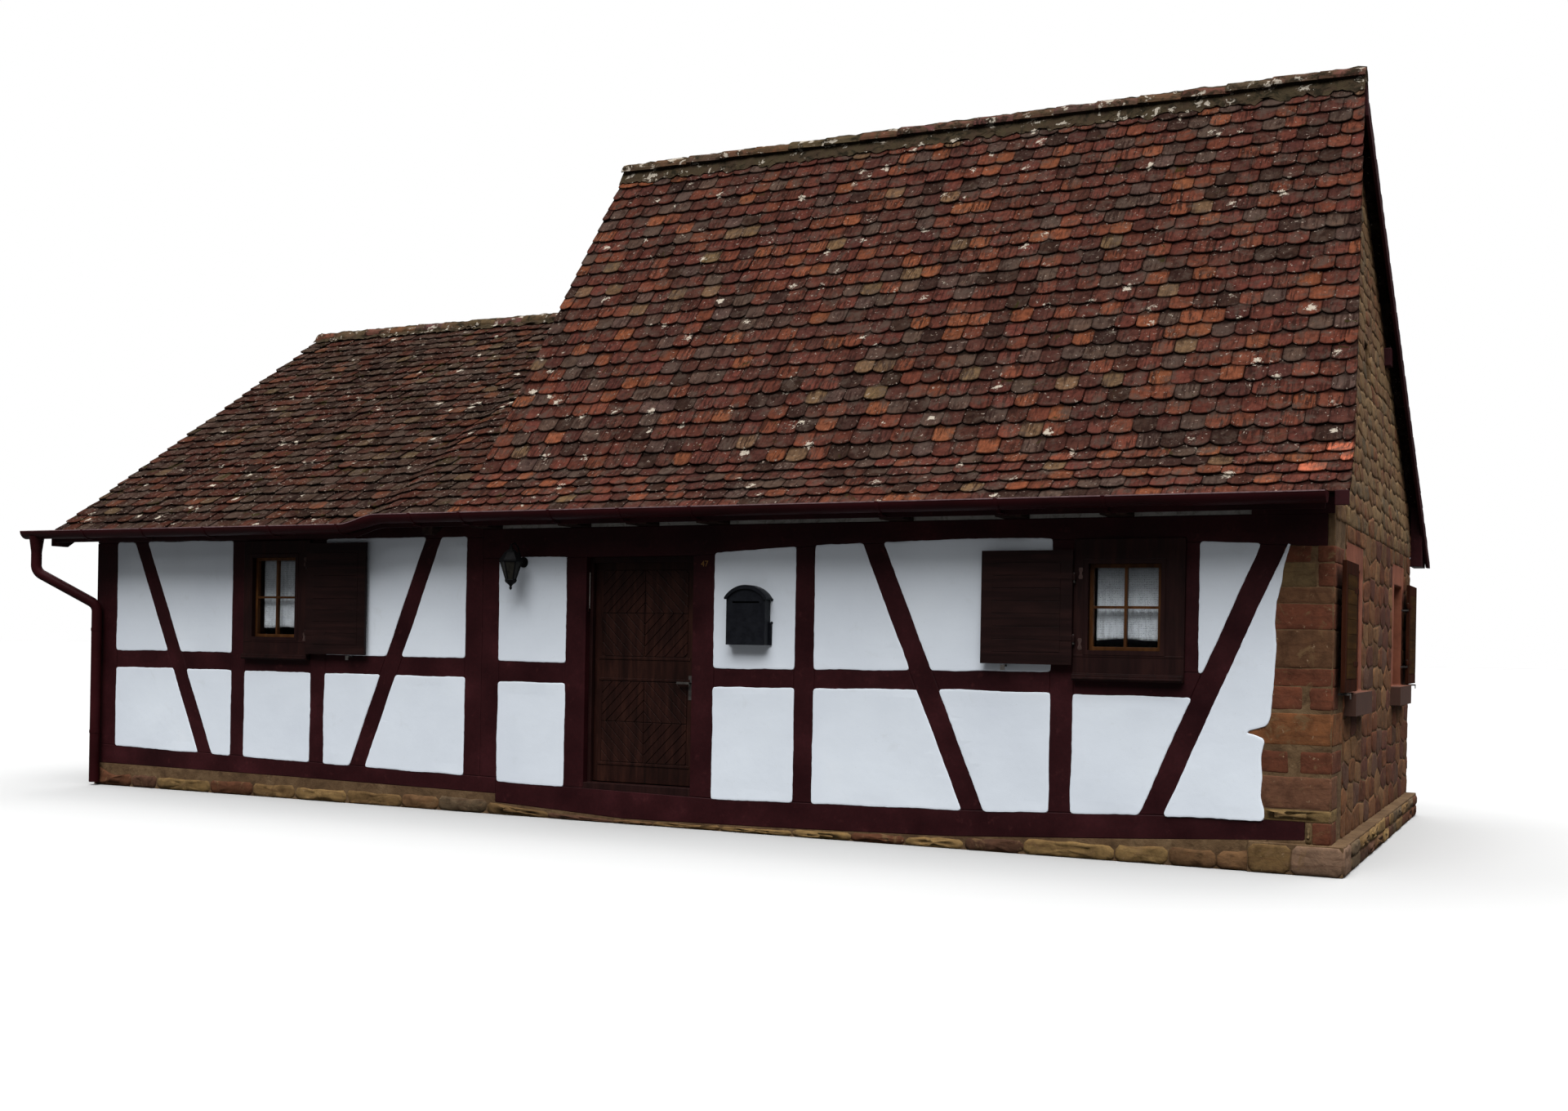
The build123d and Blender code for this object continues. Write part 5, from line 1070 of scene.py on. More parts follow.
# Where the plaster runs out over the quoins, as distance from the corner and height
QUOIN_EDGE = [(0.30, 2.29), (0.345, 2.12), (0.36, 2.0), (0.395, 1.86), (0.40, 1.72), (0.385, 1.56),
              (0.395, 1.40), (0.405, 1.22), (0.415, 1.08), (0.44, 1.02), (0.56, 0.985), (0.575, 0.955),
              (0.50, 0.94), (0.455, 0.92), (0.475, 0.80), (0.465, 0.66), (0.475, 0.52), (0.45, 0.42),
              (0.455, 0.36)]
QUOIN_SEARCH = -0.55
LAST_PANEL = -0.50


def to_quoins(outline):
    """The last panel's outline with its right side replaced by the ragged edge on the quoins."""
    left = [p for p in outline if p[0] < QUOIN_SEARCH]
    edge = [(-x, z) for x, z in reversed(QUOIN_EDGE)]
    left.sort(key=lambda p: p[1])
    return [left[0]] + edge + [left[-1]]


def plaster(name, nodes, outward, face, seed):
    """Skins over the panels of one wall. The last panel of the front ends on the quoins."""
    shape = Shape()
    for number, node in enumerate(nodes):
        for outline in outward_faces(node, Vector(outward)):
            flat = [(p.y if outward[0] else p.x, p.z) for p in outline]
            proud = PLASTER_PROUD
            if face is front_face and max(u for u, _ in flat) > LAST_PANEL:
                flat = to_quoins(flat)
                proud = PLASTER_AT_CORNER
            skin(shape, [Vector(p) for p in flat], face, seed + number, proud)
    shape.make(name, "white_plaster", "white_plaster")


plaster("front_plaster", ("main_front_panels", "left_front_panels"), (0, -1, 0), front_face, 3)
plaster("left_end_plaster", ("left_end_panels",), (-1, 0, 0), left_end_face, 7)
plaster("rear_plaster", ("rear_panels",), (0, 1, 0), rear_face, 8)
plaster("middle_gable_plaster", ("middle_gable_panels",), (-1, 0, 0), middle_gable_face, 9)


# Masonry

STONE_TONES = [(88, 54, 36), (82, 48, 32), (76, 46, 36), (96, 64, 42), (74, 52, 42), (84, 58, 38),
               (102, 74, 50)]
RUBBLE_TONES = [(94, 70, 48), (102, 82, 58), (84, 60, 42), (90, 56, 38), (108, 88, 62), (80, 56, 40),
                (78, 66, 50)]
PLINTH_TONES = [(108, 86, 54), (90, 66, 44), (80, 50, 34), (98, 76, 48), (80, 66, 50), (70, 48, 36)]


def pillow(shape, outline, lift_to, tone, proud, seed, rough=0.005, wear=0.03, wander=0.009):
    """One stone: an uneven outline that rises in rings from the mortar to a rough face."""
    if area_of(outline) < 0:
        outline = outline[::-1]
    corners = [Vector(p) for p in outline]
    soft = []
    for i, here in enumerate(corners):
        before, after = corners[i - 1], corners[(i + 1) % len(corners)]
        for other in (before, after):
            soft.append(here + (other - here).normalized() * min(wear, (other - here).length * 0.3))
        steps = int((after - here).length / 0.11)
        for k in range(1, steps + 1):
            soft.append(here.lerp(after, k / (steps + 1)))
    stray = [Vector([ripple(p.x * 11, p.y * 11, part) for part in (seed, seed + 40)]) * wander for p in soft]
    soft = [p + away for p, away in zip(soft, stray)]
    soft = [Vector((p.x, max(p.y, STONE_FOOT))) for p in soft]
    centre = sum(soft, Vector((0, 0))) / len(soft)
    size = min((p - centre).length for p in soft)
    count = len(soft)
    points = []
    for inset, height in ((0.0, -STONE_SINK), (0.0, proud * 0.2), (0.007, proud * 0.75), (0.024, proud)):
        share = min(inset / max(size, 0.02), 0.6)
        for p in soft:
            q = p.lerp(centre, share)
            lump = rough * ripple(q.x * 16, q.y * 16, seed + 7) if height > 0 else 0
            points.append(lift_to(q.x, q.y, height + lump))
    for p in soft:
        q = p.lerp(centre, 0.55)
        lump = 1.2 * rough * ripple(q.x * 12, q.y * 12, seed + 9)
        points.append(lift_to(q.x, q.y, proud + lump))
    points.append(lift_to(centre.x, centre.y, proud + 0.6 * rough))
    points.append(lift_to(centre.x, centre.y, -STONE_SINK))
    faces = tube_faces(4, count)
    top, bottom = 5 * count, 5 * count + 1
    for i in range(count):
        j = (i + 1) % count
        faces.append((4 * count + i, 4 * count + j, top))
        faces.append((j, i, bottom))
    shape.add(points, faces, tone)


def rubble(shape, u0, v0, v1, seed, palette, size, holes, proud):
    """Rough stones of the gable: each is the ground that lies nearer to its middle than to any other."""
    chance = random.Random(seed)
    u1 = GABLE_BACK
    rows = max(1, round((v1 - v0) / size[1]))
    count = max(1, round((u1 - u0) / size[0]))
    seeds = []
    for j in range(rows):
        shift = chance.uniform(0.2, 0.8)
        for i in range(-1, count + 1):
            u = u0 + (u1 - u0) * (i + shift + chance.uniform(-0.34, 0.34)) / count
            v = v0 + (v1 - v0) * (j + 0.5 + chance.uniform(-0.16, 0.16)) / rows
            seeds.append((u, v))
    for u, v in seeds:
        outline = [(u0, v0), (u1, v0), (u1, v1), (u0, v1)]
        for other_u, other_v in seeds:
            across, up = (other_u - u) / size[0] ** 2, (other_v - v) / size[1] ** 2
            near = abs(other_u - u) < 3 * size[0] and abs(other_v - v) < 2.6 * size[1]
            if (across or up) and near and outline:
                reach = math.hypot(across, up) * MORTAR_JOINT / 2
                middle = across * (u + other_u) / 2 + up * (v + other_v) / 2
                outline = clip(outline, across, up, middle - reach)
        for a, b, c in roof_cuts:
            outline = clip(outline, a, b, c) if outline else []
        for hu0, hu1, hv0, hv1 in holes:
            if outline and hu0 - 0.6 < u < hu1 + 0.6 and hv0 - 0.6 < v < hv1 + 0.6:
                sides = [(1, 0, hu0, hu0 - u), (-1, 0, -hu1, u - hu1),
                         (0, 1, hv0, hv0 - v), (0, -1, -hv1, v - hv1)]
                a, b, c, _ = max(sides, key=lambda side: side[3])
                outline = clip(outline, a, b, c)
        if is_larger(outline, SMALLEST_RUBBLE):
            pillow(shape, outline, gable_face, tone_of(chance, palette), proud * chance.uniform(0.6, 1.3),
                   chance.uniform(0, 50), wear=0.022, wander=0.011)


def tone_of(chance, palette):
    """One stone's tone, drawn from a palette and made lighter or darker."""
    light = chance.uniform(0.85, 1.15)
    return lit(chance.choice(palette), light)


def masonry(shape, u0, u1, v1, lift_to, seed, heights, widths, proud):
    """Courses of plinth or footing stones of random size, from the ground up to a height."""
    chance = random.Random(seed)
    v = BOTTOM_COURSE
    while v < v1 - 0.04:
        height = chance.uniform(*heights)
        if v1 - v - height < heights[0] * 0.7:
            height = v1 - v
        u = u0
        while u < u1 - 0.03:
            width = chance.uniform(*widths)
            if u1 - u - width < widths[0] * 0.7:
                width = u1 - u
            parts = [(v, v + height)]
            if height > 0.19 and width < 0.32 and chance.random() < 0.4:
                cut_at = v + height * chance.uniform(0.4, 0.6)
                parts = [(v, cut_at), (cut_at, v + height)]
            for low, high in parts:
                gap = MORTAR_JOINT / 2 * chance.uniform(0.6, 1.5)
                lean = chance.uniform(-0.02, 0.02) * 0.4
                drop = chance.uniform(-0.006, 0.006)
                outline = [(u + gap, low + gap + drop), (u + width - gap, low + gap - drop),
                           (u + width - gap + lean, high - gap + drop), (u + gap + lean, high - gap)]
                if is_larger(outline, SMALLEST_STONE):
                    pillow(shape, outline, lift_to, tone_of(chance, PLINTH_TONES),
                           proud * chance.uniform(0.6, 1.3), chance.uniform(0, 50))
            u += width
        v += height


surround_low, surround_high = drawn_box("gable_window_surrounds")
SURROUND_SPANS = [(0.555, 1.505), (3.555, 4.505)]
SURROUND_JOINT = 0.004
window_holes = [(a - SURROUND_JOINT, b + SURROUND_JOINT, surround_low.z - SURROUND_JOINT,
                 surround_high.z + SURROUND_JOINT) for a, b in SURROUND_SPANS]
SLOT_HOLE = (2.25, 2.55, 3.77, 4.08)
front_line = math.tan(main_pitch)
verge_gap = TILE_LAYER / math.cos(rear_pitch) + 0.02
# Under the front slope: v - front_line * u <= its height at the face, and the same at the rear
roof_cuts = [(-front_line, 1.0, ridge_z - front_line * ridge_y - verge_gap),
             (rear_slope, 1.0, ridge_z + rear_slope * ridge_y - verge_gap)]
FOOTING_TOP = 0.21

RED, BROWN, ORANGE, PINK, TAN, OLIVE = ((84, 48, 34), (84, 58, 40), (98, 62, 38), (92, 62, 46),
                                       (104, 84, 54), (84, 68, 46))
# Corner stones of the front: from, to, bottom, top and tone. None means that they start under the plaster
CORNER_STONES = [(None, -0.155, 2.155, 2.262, RED), (-0.110, 0, 2.155, 2.262, RED),
                 (None, -0.115, 1.985, 2.145, OLIVE), (-0.105, 0, 1.985, 2.145, RED),
                 (None, 0, 1.870, 1.977, BROWN), (None, 0, 1.690, 1.864, RED),
                 (None, 0, 1.425, 1.682, BROWN), (None, 0, 1.300, 1.417, RED),
                 (None, -0.200, 1.138, 1.290, RED), (-0.150, 0, 1.138, 1.290, RED),
                 (None, 0, 0.893, 1.108, ORANGE), (None, -0.290, 0.700, 0.845, RED),
                 (-0.205, 0, 0.700, 0.845, RED), (None, 0, 0.452, 0.672, PINK),
                 (None, 0, 0.368, 0.443, TAN), (-0.160, -0.125, 0.215, 0.358, OLIVE),
                 (-0.118, 0, 0.215, 0.358, RED)]
SIDE_DEPTHS = (0.30, 0.44, 0.26, 0.50, 0.34, 0.46, 0.28)


def plaster_edge(z):
    """Where the front plaster ends towards the corner, at a height."""
    heights = [entry[1] for entry in reversed(QUOIN_EDGE)]
    return -float(np.interp(z, heights, [entry[0] for entry in reversed(QUOIN_EDGE)]))


def corner_stones():
    """Large blocks on both faces of the stone corner, nearly flush with their mortar."""
    chance = random.Random(5)
    shape = Shape()
    for number, (start, end, low, high, tone) in enumerate(CORNER_STONES):
        tone = lit(tone, chance.uniform(0.9, 1.1))
        low, high = low - QUOIN_CLOSER, high + QUOIN_CLOSER
        end, start = min(end + QUOIN_CLOSER, 0), start and start - QUOIN_CLOSER
        rows = [low + (high - low) * share for share in (1.0, 0.67, 0.33, 0.0)]
        left = [(plaster_edge(z) - PLASTER_COVER if start is None else start, z) for z in rows]
        outline = left + [(end, low), (end, high)]
        pillow(shape, outline, front_face, tone, QUOIN_PROUD, number * 1.7, **QUOIN_WEAR)
        if end == 0 and high - low > 0.08:
            depth = SIDE_DEPTHS[number % len(SIDE_DEPTHS)]
            outline = [(0.0, low), (depth, low), (depth, high), (0.0, high)]
            pillow(shape, outline, gable_face, tone, QUOIN_PROUD, number * 1.7 + 0.8, **QUOIN_WEAR)
    shape.make("quoin_stones", "stone", "sandstone", smooth=True)
    bottom = min(low for start, _, low, _, _ in CORNER_STONES if start is None)
    top = CORNER_STONES[0][3]
    edge = [(plaster_edge(z) - 0.4 * PLASTER_COVER, z) for z in np.linspace(bottom, top, 26)]
    bed = Shape()
    plate(bed, edge + [(-0.002, top), (-0.002, bottom)], front_face, -0.004, 0.0015)
    bed.make("quoin_mortar", "mortar", "sandstone")


corner_stones()

GABLE_BACK = 5.05
RUBBLE_FROM = 2.45
GABLE_TOP = 6.2
lower_gable = Shape()
rubble(lower_gable, 0.50, FOOTING_TOP, RUBBLE_FROM, 31, STONE_TONES, (0.34, 0.17), window_holes, RUBBLE_PROUD)
lower_gable.make("lower_gable_stones", "stone", "sandstone", smooth=True)
upper_gable = Shape()
rubble(upper_gable, 0.01, RUBBLE_FROM, GABLE_TOP, 32, RUBBLE_TONES, (0.27, 0.13), [SLOT_HOLE],
       UPPER_RUBBLE_PROUD)
upper_gable.make("upper_gable_stones", "rubble", "sandstone", smooth=True)

PLINTH_STONES = (0.34, 0.72)
PLINTH_COURSES = (0.10, 0.20)
PLINTH_FOOT = 0.002
COURSE_DROP = 0.010
FOOTING_STONE_TOP = 0.200
plinth_outline = [p for outline in outward_faces("plinth", Vector((0, -1, 0))) for p in outline if p.z > 0.02]
plinth_outline.sort(key=lambda p: p.x)


def plinth_top(x):
    """How high the front of the plinth reaches at a place along it."""
    return float(np.interp(x, [p.x for p in plinth_outline], [p.z for p in plinth_outline]))


def plinth_stones():
    """Long low stones under the front sill, some of them in two layers."""
    chance = random.Random(61)
    shape = Shape()
    x = plinth_outline[0].x
    right = plinth_outline[-1].x
    while x < right - 0.02:
        end = x + chance.uniform(*PLINTH_STONES)
        if right - end < PLINTH_STONES[0]:
            end = right
        gap = MORTAR_JOINT / 2
        tops = [plinth_top(place) - chance.uniform(0.004, 0.030) for place in (x, (x + end) / 2, end)]
        middles = [share * chance.uniform(0.42, 0.58) for share in tops]
        foot = [PLINTH_FOOT] * 3
        layers = [(foot, tops)]
        if chance.random() < 0.4 and min(tops) > 0.13:
            layers = [(foot, middles), ([part + 2 * gap for part in middles], tops)]
        for lows, highs in layers:
            places = (x + gap, (x + end) / 2, end - gap)
            outline = list(zip(places, lows)) + list(zip(reversed(places), reversed(highs)))
            pillow(shape, outline, front_face, tone_of(chance, PLINTH_TONES), chance.uniform(0.008, 0.022),
                   chance.uniform(0, 50), rough=0.012, wander=0.013)
        x = end
    height = drawn_box("plinth")[1].z - COURSE_DROP
    masonry(shape, left_end_x + 0.01, right, height, rear_face, 62, PLINTH_COURSES, PLINTH_STONES, 0.012)
    masonry(shape, 0.01, rear_y - 0.01, height, left_end_face, 63, PLINTH_COURSES, PLINTH_STONES, 0.012)
    shape.make("plinth_stones", "stone", "sandstone", smooth=True)


def footing_stones():
    """The footing that steps out under the stone gable, with one large block at the corner."""
    chance = random.Random(66)
    shape = Shape()
    grey = lit((104, 82, 66))
    foot, top = BOTTOM_COURSE, FOOTING_STONE_TOP
    side, front = footing_x - 0.002, footing_y + 0.002
    corner = [(-0.255, foot), (side, foot), (side, top - 0.002), (-0.245, top + 0.002)]
    pillow(shape, corner, footing_front, grey, 0.014, 3.0, rough=0.010)
    second = [(-0.54, foot), (-0.265, foot), (-0.255, top), (-0.54, top - 0.004)]
    pillow(shape, second, footing_front, tone_of(chance, PLINTH_TONES), 0.012, 5.0)
    return_face = [(front, foot), (0.33, foot), (0.32, top), (front, top - 0.002)]
    pillow(shape, return_face, footing_side, grey, 0.014, 7.0, rough=0.010)
    masonry(shape, 0.34, 5.04, FOOTING_TOP - COURSE_DROP, footing_side, 67, (0.09, 0.20), (0.25, 0.60), 0.014)
    shape.make("footing_stones", "stone", "sandstone", smooth=True)


plinth_stones()
footing_stones()


# Boards, mouldings and small things on the door, the shutters and the windows

DOOR_FACE_Y = 0.110
DOOR_FIELD_X = (-5.967, -5.133)
DOOR_FIELDS_Z = ((0.506, 1.190), (1.400, 2.129))
DOOR_RECESS = 0.006
DOOR_BOARD = 0.066
BOARD_EDGE = 0.002
BOARD_GROOVE = 0.003
BOARD_JOINT = 0.0012
SMALLEST_BOARD = 0.0006
DOOR_MOULDINGS_Z = (0.490, 1.206, 1.384)
MOULDING_REACH = 0.03
MOULDING_HALF = 0.011
SHUTTER_RECESS = 0.006
SHUTTER_FRAME = 0.090
SHUTTER_BOARD = 0.100
KNUCKLE = 0.0213


door_face = along_x(DOOR_FACE_Y, -1)


def diamond_boards(shape, u0, u1, v0, v1):
    """Fills a field of the door with slanting boards that form nested diamonds."""
    middle_u, middle_v = (u0 + u1) / 2, (v0 + v1) / 2
    step = DOOR_BOARD * math.sqrt(2)
    count = int(((u1 - u0) + (v1 - v0)) / 2 / step) + 1
    for a, b, side_u in ((u0, middle_u, -1), (middle_u, u1, 1)):
        for c, d, side_v in ((v0, middle_v, -1), (middle_v, v1, 1)):
            left, right = a + BOARD_EDGE, b - BOARD_EDGE
            bottom, top = c + BOARD_EDGE, d - BOARD_EDGE
            quarter = [(left, bottom), (right, bottom), (right, top), (left, top)]
            base = side_u * middle_u + side_v * middle_v
            for k in range(count):
                board = clip(quarter, side_u, side_v, base + (k + 1) * step - BOARD_GROOVE)
                board = clip(board, -side_u, -side_v, -(base + k * step + BOARD_GROOVE))
                if is_larger(board, SMALLEST_BOARD):
                    plate(shape, board, door_face, -DOOR_RECESS - 0.003, 0.003)


door_boards = Shape()
for bottom, top in DOOR_FIELDS_Z:
    diamond_boards(door_boards, *DOOR_FIELD_X, bottom, top)
for z in DOOR_MOULDINGS_Z:
    block(door_boards, (DOOR_FIELD_X[0] - MOULDING_REACH, DOOR_FACE_Y - 0.006, z - MOULDING_HALF),
          (DOOR_FIELD_X[1] + MOULDING_REACH, DOOR_FACE_Y + 0.004, z + MOULDING_HALF))
soften(door_boards.make("door_boards", "door_wood", "brown_wood", "front_door"), 0.003)


def shutter_boards(node, face, u0, u1, finish="shutter_wood"):
    """Boards lying in the field of a shutter's frame."""
    leaf_low, leaf_high = drawn_box(node)
    u0, u1 = u0 + SHUTTER_FRAME, u1 - SHUTTER_FRAME
    v0, v1 = leaf_low.z + SHUTTER_FRAME, leaf_high.z - SHUTTER_FRAME
    shape = Shape()
    count = round((v1 - v0) / SHUTTER_BOARD)
    for k in range(count):
        low = v0 + (v1 - v0) * k / count + BOARD_JOINT
        high = v0 + (v1 - v0) * (k + 1) / count - BOARD_JOINT
        board = [(u0, low), (u1, low), (u1, high), (u0, high)]
        plate(shape, board, face, -SHUTTER_RECESS - 0.003, -0.0015)
    soften(shape.make(node + "_boards", finish, "brown_wood", node), 0.0018)


left_leaf, right_leaf = drawn_box("left_shutter"), drawn_box("right_shutter")
front_leaf, rear_leaf = drawn_box("front_gable_shutter"), drawn_box("rear_gable_shutter")


shutter_face = along_x(right_leaf[0].y, -1)
gable_shutter_face = along_y(front_leaf[1].x, 1)
shutter_boards("right_shutter", shutter_face, right_leaf[0].x, right_leaf[1].x - KNUCKLE)
shutter_boards("left_shutter", shutter_face, left_leaf[0].x + KNUCKLE, left_leaf[1].x)
shutter_boards("front_gable_shutter", gable_shutter_face, front_leaf[0].y, front_leaf[1].y - KNUCKLE,
               "umber_boards")
shutter_boards("rear_gable_shutter", gable_shutter_face, rear_leaf[0].y + KNUCKLE, rear_leaf[1].y,
               "umber_boards")

casing_left, casing_right = drawn_box("left_window_casing"), drawn_box("right_window_casing")
CASING_FACE_Y = -0.030
HINGE_INSET = 0.052
HINGE_FROM_FOOT = 0.155
HINGE_FROM_HEAD = 0.170
PLATE_LOBES = [(0.010, 0.042), (0.017, 0.032), (0.015, 0.018), (0.009, 0.008), (0.008, 0.0)]


casing_face = along_x(CASING_FACE_Y, -1)


def hinge_plates():
    """Iron plates that hold the shutter pins on the casings."""
    shape = Shape()
    half = PLATE_LOBES + [(w, -v) for w, v in reversed(PLATE_LOBES[:-1])]
    places = ((casing_right[0].x + HINGE_INSET, right_leaf), (casing_left[1].x - HINGE_INSET, left_leaf))
    for x, leaf in places:
        for z in (leaf[0].z + HINGE_FROM_FOOT, leaf[1].z - HINGE_FROM_HEAD):
            outline = [(x + w, z + v) for w, v in half] + [(x - w, z + v) for w, v in reversed(half)]
            plate(shape, outline, casing_face, -0.002, 0.0025)
            for side in (-1, 1):
                nail_x, nail_z = x + side * 0.006, z + side * 0.026
                block(shape, (nail_x - 0.003, CASING_FACE_Y - 0.0034, nail_z - 0.003),
                      (nail_x + 0.003, CASING_FACE_Y - 0.001, nail_z + 0.003))
    soften(shape.make("hinge_plates", "pale_iron", "grey_iron"), 0.001)


hinge_plates()

SASH_BOTTOMS = (1.52, 1.51)
SILL_BOARD_TOP = 1.345
APRON_TOP = 1.310
window_trim = Shape()
for casing, sash_bottom in zip((casing_right, casing_left), SASH_BOTTOMS):
    for board_y, z, height, proud in ((CASING_FACE_Y, sash_bottom - 0.048, 0.016, 0.003),
                                      (CASING_FACE_Y, SILL_BOARD_TOP, 0.009, 0.022),
                                      (casing[0].y, APRON_TOP, 0.014, 0.008)):
        block(window_trim, (casing[0].x + 0.006, board_y - proud, z),
              (casing[1].x - 0.006, board_y + 0.01, z + height))
soften(window_trim.make("window_mouldings", "brown_wood", "brown_wood"), 0.002)


# Boards under the eave and the bead on the lip of the gutter

EAVE_BOARD_LEFT = left_front_low.x + 0.06
EAVE_BOARD_Y = (-0.338, -0.322)
EAVE_BOARD_DROP = (-0.118, -0.080)
CORNER_BOARD = ((-0.560, -0.016, 2.486), (-0.004, -0.002, 2.700))
GUTTER_LIP_Y = -0.494
BEAD_RADIUS = 0.004
BEAD_DROP = (-0.016, -0.008)


def eave_height(x):
    """The height of the front eave at a place along it."""
    if x > SWEEP_END_X:
        return MAIN_EAVE_Z
    return LEFT_EAVE_Z + left_eave_rise(x)


def eave_strip(shape, x0, x1, y0, y1, low, high):
    """A bar along the front that follows the height of the eave."""
    xs = swept_places(x0, x1)
    corners = ((y0, low), (y1, low), (y1, high), (y0, high))
    points = [(x, y, eave_height(x) + drop) for x in xs for y, drop in corners]
    ends = [(0, 3, 2, 1), tuple(4 * (len(xs) - 1) + i for i in range(4))]
    shape.add(points, ends + tube_faces(len(xs) - 1, 4))


eave_boards = Shape()
eave_strip(eave_boards, EAVE_BOARD_LEFT, main_front_high.x - 0.16, *EAVE_BOARD_Y, *EAVE_BOARD_DROP)
block(eave_boards, *CORNER_BOARD)
eave_boards.make("eave_boards", "red_timber", "red_timber")
# The bead is pale, as a painted highlight along the gutter's lip
gutter_bead = Shape()
gutter_low, gutter_high = drawn_box("front_gutter")
eave_strip(gutter_bead, gutter_low.x + BEAD_RADIUS, gutter_high.x - BEAD_RADIUS,
           GUTTER_LIP_Y - BEAD_RADIUS, GUTTER_LIP_Y + BEAD_RADIUS, *BEAD_DROP)
gutter_bead.make("gutter_bead", "painted_highlight_metal", "red_metal")


# The lantern on its arm

LANTERN_X, LANTERN_Y, ROSETTE_Z = -6.715, -0.190, 2.195
# Radius and height of each ring, from the top down. The glass hangs between two of them
LANTERN_RINGS = [(0.006, 2.330), (0.016, 2.325), (0.018, 2.300), (0.060, 2.268), (0.102, 2.205),
                 (0.102, 2.192), (0.094, 2.186), (0.048, 2.040), (0.052, 2.034), (0.046, 2.016),
                 (0.016, 1.992), (0.008, 1.978), (0.013, 1.966), (0.004, 1.950)]
GLASS_RINGS = (6, 7)
ARM_RADIUS = 0.007
ROSETTE_FACE_Y = -0.012
ROSETTE_BOSS_Y = -0.022


def lantern_point(radius, turn, z):
    """A point at a radius and turn about the lantern's middle."""
    return (LANTERN_X + radius * math.cos(turn), LANTERN_Y + radius * math.sin(turn), z)


def rod(shape, points, radius, sides):
    """A round bar through points that lie in one upright plane across the wall."""
    rings = []
    for k, point in enumerate(points):
        before, after = Vector(points[max(k - 1, 0)]), Vector(points[min(k + 1, len(points) - 1)])
        along = (after - before).normalized()
        across = Vector((1, 0, 0))
        up = along.cross(across)
        for i in range(sides):
            turn = 2 * math.pi * i / sides
            place = Vector(point) + across * math.cos(turn) * radius + up * math.sin(turn) * radius
            rings.append(tuple(place))
    steps = len(points) - 1
    ends = [tuple(range(sides)), tuple(steps * sides + i for i in reversed(range(sides)))]
    shape.add(rings, ends + tube_faces(steps, sides))


def hang_lantern():
    """Six sided lantern with glass panes, on a curved arm from a round plate."""
    metal, panes = Shape(), Shape()
    turns = [math.pi / 6 + math.pi / 3 * i for i in range(6)]
    for part in (LANTERN_RINGS[:GLASS_RINGS[0] + 1], LANTERN_RINGS[GLASS_RINGS[1]:]):
        points = [lantern_point(radius, turn, z) for radius, z in part for turn in turns]
        ends = [tuple(range(6)), tuple((len(part) - 1) * 6 + i for i in range(6))]
        metal.add(points, ends + tube_faces(len(part) - 1, 6))
    (top_radius, top_z), (low_radius, low_z) = (LANTERN_RINGS[k] for k in GLASS_RINGS)
    for turn in turns:
        side = Vector((-math.sin(turn), math.cos(turn), 0)) * 0.005
        inward = Vector((math.cos(turn), math.sin(turn), 0)) * 0.008
        bar = []
        for radius, z in ((top_radius, top_z), (low_radius, low_z)):
            corner = Vector(lantern_point(radius, turn, z))
            bar += [tuple(corner + side), tuple(corner - side), tuple(corner - side - inward),
                    tuple(corner + side - inward)]
        metal.add(bar, [(0, 1, 2, 3), (4, 7, 6, 5), (0, 4, 5, 1), (1, 5, 6, 2), (2, 6, 7, 3), (3, 7, 4, 0)])
    glass = [lantern_point(radius - inset, turn, z) for inset in (0.004, 0.007)
             for radius, z in ((top_radius, top_z), (low_radius, low_z)) for turn in turns]
    faces = []
    for i in range(6):
        j = (i + 1) % 6
        faces.append((i, j, 6 + j, 6 + i))
        faces.append((12 + i, 18 + i, 18 + j, 12 + j))
        faces.append((i, 12 + i, 12 + j, j))
        faces.append((6 + i, 6 + j, 18 + j, 18 + i))
    panes.add(glass, faces)
    crest = LANTERN_RINGS[0][1] - 0.004
    arm = [(PLASTER_PROUD - 0.010, ROSETTE_Z), (-0.050, ROSETTE_Z + 0.020), (-0.090, ROSETTE_Z + 0.120),
           (-0.140, crest + 0.030), (LANTERN_Y, crest + 0.010), (LANTERN_Y - 0.006, crest - 0.012)]
    rosette = [(PLASTER_PROUD - 0.002, ROSETTE_Z), (ROSETTE_FACE_Y, ROSETTE_Z)]
    boss = [(ROSETTE_FACE_Y, ROSETTE_Z), (ROSETTE_BOSS_Y, ROSETTE_Z)]
    for line, radius, sides in ((arm, ARM_RADIUS, 8), (rosette, 0.046, 20), (boss, 0.026, 20)):
        rod(metal, [(LANTERN_X, y, z) for y, z in line], radius, sides)
    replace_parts(metal.make("lantern_frame", "black_iron", "black_metal"), "wall_lantern")
    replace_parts(panes.make("lantern_panes", "old_glass", "black_metal"), "wall_lantern")


hang_lantern()


# Lace curtains on rods behind the front windows

CURTAIN_Y = 0.088
CURTAIN_WAVE = 0.0055
CURTAIN_FOLDS = 9
LACE = 0.0008
LACE_LEFT = 0.036
LACE_RIGHT = 0.012
CURTAIN_ROD_RADIUS = 0.0035
CURTAIN_ROD_DROP = 0.012
WINDOW_WIDTH = 0.530
RIGHT_SASH_TOP = 2.150


